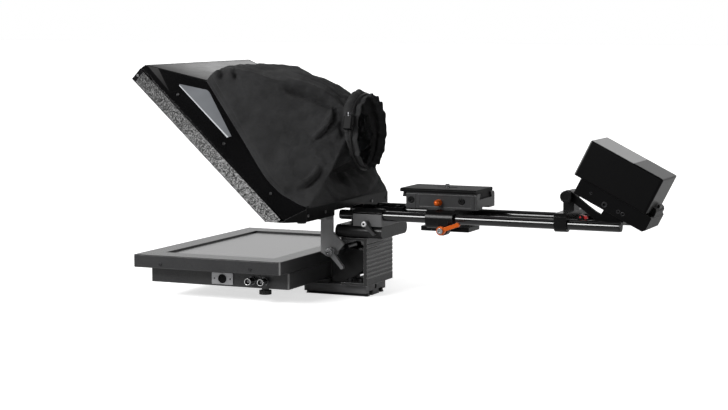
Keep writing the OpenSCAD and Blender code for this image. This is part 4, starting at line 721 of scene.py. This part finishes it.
# ruled cloth between rim and neck, drawn to the two edge folds
def goreGrid(rim, neck, edgeA, edgeB, power):
    columns, rings = len(rim) - 1, len(edgeA) - 1
    grid = []
    for i in range(rings + 1):
        t = i / rings
        moveA = edgeA[i] - rim[0].lerp(neck[0], t)
        moveB = edgeB[i] - rim[-1].lerp(neck[-1], t)
        grid.append([rim[k].lerp(neck[k], t) + moveA * (1 - k / columns) ** power + moveB * (k / columns) ** power
                     for k in range(columns + 1)])
    return grid


# the rear gore sags on the base and is drawn in below the collar
def hangRear(rear):
    sag, hollow = shroud["sag"], shroud["hollow"]
    rings, columns = len(rear) - 1, len(rear[0]) - 1
    for i, row in enumerate(rear):
        t = i / rings
        pull = nearRing(t, sag) * min(1, shroud["start"] * t)
        sunk = nearRing(t, hollow) * min(1, shroud["start"] * (1 - t))
        for k in range(1, columns):
            across = math.sin(math.pi * k / columns)
            row[k] = row[k] + Vector(sag["move"]) * pull * across ** sag["shape"]
            row[k] = row[k] + Vector(hollow["move"]) * sunk * across ** hollow["shape"]


# the top gore rises to its spine
def crownTop(top):
    columns = len(top[0]) - 1
    middle = columns // 2
    spine = smoothLine([top[0][middle]] + [Vector(p) for p in shroud["spine"]] + [top[-1][middle]], len(top) - 1)
    for i, row in enumerate(top):
        rise = spine[i] - row[middle]
        for k in range(1, columns):
            row[k] = row[k] + rise * math.sin(math.pi * k / columns) ** shroud["crown"]


def shroudGores():
    form, rings = shroud, shroud["rings"]
    acrossTop, acrossSide, acrossRear = (form["columns"][gore] for gore in ("top", "side", "rear"))
    a, b = form["creaseTurn"], form["ridgeTurn"]
    corner = wingPoint(*form["corner"], 1)
    heel = Vector(form["baseCorner"])

    def edge(start, name, turn):
        return smoothLine([start] + [Vector(p) for p in form[name]] + [neckPoint(turn)], rings)

    rimTop = []
    for k in range(acrossTop + 1):
        share = 1 - 2 * k / acrossTop
        down = hood["panelRim"] + form["rimRound"] * share ** form["rimPower"]
        rimTop.append(panelPoint(form["topHalf"] * share, down))
    rimTop[0], rimTop[-1] = corner, flip(corner)
    rimNear = smoothLine([corner] + [wingPoint(v, n, 1) for v, n in form["wingRim"]] + [heel], acrossSide)
    rimFar = [flip(p) for p in rimNear]
    rimRear = [heel.lerp(flip(heel), k / acrossRear) for k in range(acrossRear + 1)]
    creaseNear, creaseFar = edge(corner, "creaseNear", a), edge(flip(corner), "creaseFar", -a)
    ridgeNear, ridgeFar = edge(heel, "ridgeNear", b), edge(flip(heel), "ridgeFar", -b)
    draw = form["draw"]
    near = goreGrid(rimNear, neckArc(a, b, acrossSide), creaseNear, ridgeNear, draw["side"])
    far = goreGrid(rimFar, neckArc(-a, -b, acrossSide), creaseFar, ridgeFar, draw["side"])
    rear = goreGrid(rimRear, neckArc(b, 2 * math.pi - b, acrossRear), ridgeNear, ridgeFar, draw["rear"])
    top = goreGrid(rimTop, neckArc(a, -a, acrossTop), creaseNear, creaseFar, draw["top"])
    hangRear(rear)
    crownTop(top)
    return near, rear, far, top


# one closed loop per ring: near side down, rear across, far side up, top back
def loopRows(near, rear, far, top):
    return [near[i][:-1] + rear[i][:-1] + far[i][:0:-1] + top[i][:0:-1] for i in range(len(near))]


def loopTurns():
    cols, a, b = shroud["columns"], shroud["creaseTurn"], shroud["ridgeTurn"]
    full = 2 * math.pi
    turns = []
    for start, end, count in ((a, b, cols["side"]), (b, full - b, cols["rear"]),
                              (full - b, full - a, cols["side"]), (full - a, full + a, cols["top"])):
        turns += [start + (end - start) * k / count for k in range(count)]
    return turns


def rowNormals(rows):
    normals = []
    count = len(rows[0])
    for i, row in enumerate(rows):
        up, down = rows[max(i - 1, 0)], rows[min(i + 1, len(rows) - 1)]
        normals.append([(row[(k + 1) % count] - row[k - 1]).cross(down[k] - up[k]).normalized()
                        for k in range(count)])
    return normals


def wayPoint(grid, share, along):
    i, k = along * (len(grid) - 1), share * (len(grid[0]) - 1)
    i0, k0 = min(int(i), len(grid) - 2), min(int(k), len(grid[0]) - 2)
    low = grid[i0][k0].lerp(grid[i0][k0 + 1], k - k0)
    high = grid[i0 + 1][k0].lerp(grid[i0 + 1][k0 + 1], k - k0)
    return low.lerp(high, i - i0)


# push the cloth in along a fold's line and up into a lip beside it
def pressFold(rows, grid, fold, side):
    way, width, depth, lip = fold
    line = smoothLine([wayPoint(grid, share, along) for share, along in way], shroud["foldSteps"])
    normals = rowNormals(rows)
    reach, lipAt = width * shroud["foldReach"], width * shroud["lipAt"]
    first, last = shroud["foldEnds"]
    low = Vector([min(p[axis] for p in line) - reach for axis in range(3)])
    high = Vector([max(p[axis] for p in line) + reach for axis in range(3)])
    for i in range(1, len(rows)):
        for k, p in enumerate(rows[i]):
            if not all(low[axis] <= p[axis] <= high[axis] for axis in range(3)):
                continue
            best = min(range(len(line)), key=lambda j: (line[j] - p).length_squared)
            gap = (line[best] - p).length
            if gap > reach:
                continue
            ahead = line[min(best + 1, len(line) - 1)] - line[max(best - 1, 0)]
            turn = ahead.cross(p - line[best]).dot(normals[i][k]) * side
            signed = gap if turn > 0 else -gap
            share = min(max((best + 0.5) / len(line), first), last)
            taper = math.sin(math.pi * share) ** shroud["foldTaper"]
            press = -math.exp(-(signed / width) ** 2) + lip * math.exp(-((signed - lipAt) / width) ** 2)
            rows[i][k] = p + normals[i][k] * depth * taper * press


# the far side has the near side's folds, a little out of step
def farFold(fold):
    (wide, shiftWide, mostWide), (far, shiftFar, mostFar) = shroud["farAcross"], shroud["farAlong"]
    way = [(min(share * wide + shiftWide, mostWide), min(along * far + shiftFar, mostFar))
           for share, along in fold[0]]
    return (way, *fold[1:])


# crisp near crease, gathers towards the neck, soft dents and crinkles all over
def ruffle(rows, turns):
    crisp, soft, crinkle = shroud["crisp"], shroud["soft"], shroud["crinkle"]
    normals = rowNormals(rows)
    last = len(rows) - 1
    for i in range(1, last):
        rows[i][0] = rows[i][0] + normals[i][0] * crisp["move"] * nearRing(i / last, crisp)
    for i in range(1, last + 1):
        t = i / last
        for k, turn in enumerate(turns):
            p = rows[i][k]
            gather = shroud["collarGather"] * t ** shroud["gatherRise"] * gatherWave(turn)
            dent = soft["move"] * math.sin(math.pi * t) * noise.noise(p * soft["scale"] + Vector(soft["seed"]))
            crease = (crinkle["move"] + crinkle["atNeck"] * t ** crinkle["rise"]) * min(1, shroud["start"] * t)
            crease *= noise.noise(p * crinkle["scale"] + Vector(crinkle["seed"]))
            rows[i][k] = p + normals[i][k] * (gather + dent + crease)


# collar: puffed out from the neck to the cord, then a frill
def collarRow(f, turns):
    form = shroud
    row = []
    for turn in turns:
        startY = form["neckY"] - form["neckTilt"] * math.cos(turn)
        y = startY + (form["endY"] - startY) * f
        if y < form["cordY"]:
            g = (y - startY) / max(form["cordY"] - startY, form["puffLeast"])
            puff = (form["puff"] + form["topPuff"] * max(0, math.cos(turn))) * math.sin(math.pi * g)
            r = form["neckRadius"] + (form["cordRadius"] - form["neckRadius"]) * g + puff
            wave = form["collarGather"] * (1 - form["cordTight"] * g)
        else:
            h = (y - form["cordY"]) / (form["endY"] - form["cordY"])
            r = form["cordRadius"] + (form["endRadius"] - form["cordRadius"]) * math.sin(h * math.pi / 2)
            wave = form["collarGather"] * (1 - form["cordTight"] + form["frillLoose"] * h)
        r += wave * gatherWave(turn)
        row.append(Vector((r * math.sin(turn), y, form["neckZ"] + r * math.cos(turn))))
    return row


def clothMesh(name, rows):
    count = len(rows[0])
    points = [tuple(p) for row in rows for p in row]
    faces = [(i * count + k, i * count + (k + 1) % count, (i + 1) * count + (k + 1) % count, (i + 1) * count + k)
             for i in range(len(rows) - 1) for k in range(count)]
    mesh = bpy.data.meshes.new(name)
    mesh.from_pydata(points, [], faces)
    uv = mesh.uv_layers.new(name="weave")
    stepX, stepY = shroud["weaveStep"]
    for poly in mesh.polygons:
        for spot, vert in zip(poly.loop_indices, poly.vertices):
            i, k = divmod(vert, count)
            if k == 0 and poly.vertices[0] % count == count - 1:
                k = count  # the last column ends on the first one's points
            uv.data[spot].uv = (k * stepX, i * stepY)
    mesh.update()
    return mesh


def makeShroud():
    near, rear, far, top = shroudGores()
    rows = loopRows(near, rear, far, top)
    for gore, grid in (("side", near), ("rear", rear), ("top", top)):
        for fold in shroud["folds"][gore]:
            pressFold(rows, grid, fold, 1)
            if gore == "side":
                pressFold(rows, far, farFold(fold), -1)
    turns = loopTurns()
    ruffle(rows, turns)
    rows += [collarRow(j / shroud["collarRings"], turns) for j in range(1, shroud["collarRings"] + 1)]
    obj = bpy.data.objects.new("shroudCloth", clothMesh("shroudCloth", rows))
    bpy.context.scene.collection.objects.link(obj)
    makeActive(obj)
    bpy.ops.object.shade_smooth()
    thick = obj.modifiers.new("thickness", "SOLIDIFY")
    thick.thickness = shroud["cloth"]
    thick.offset = 0
    bpy.ops.object.modifier_apply(modifier=thick.name)
    dress(obj, finishes["shroudCloth"])
    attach(obj, "hood")
    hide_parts("shroud")


makeShroud()
print("shroud made")
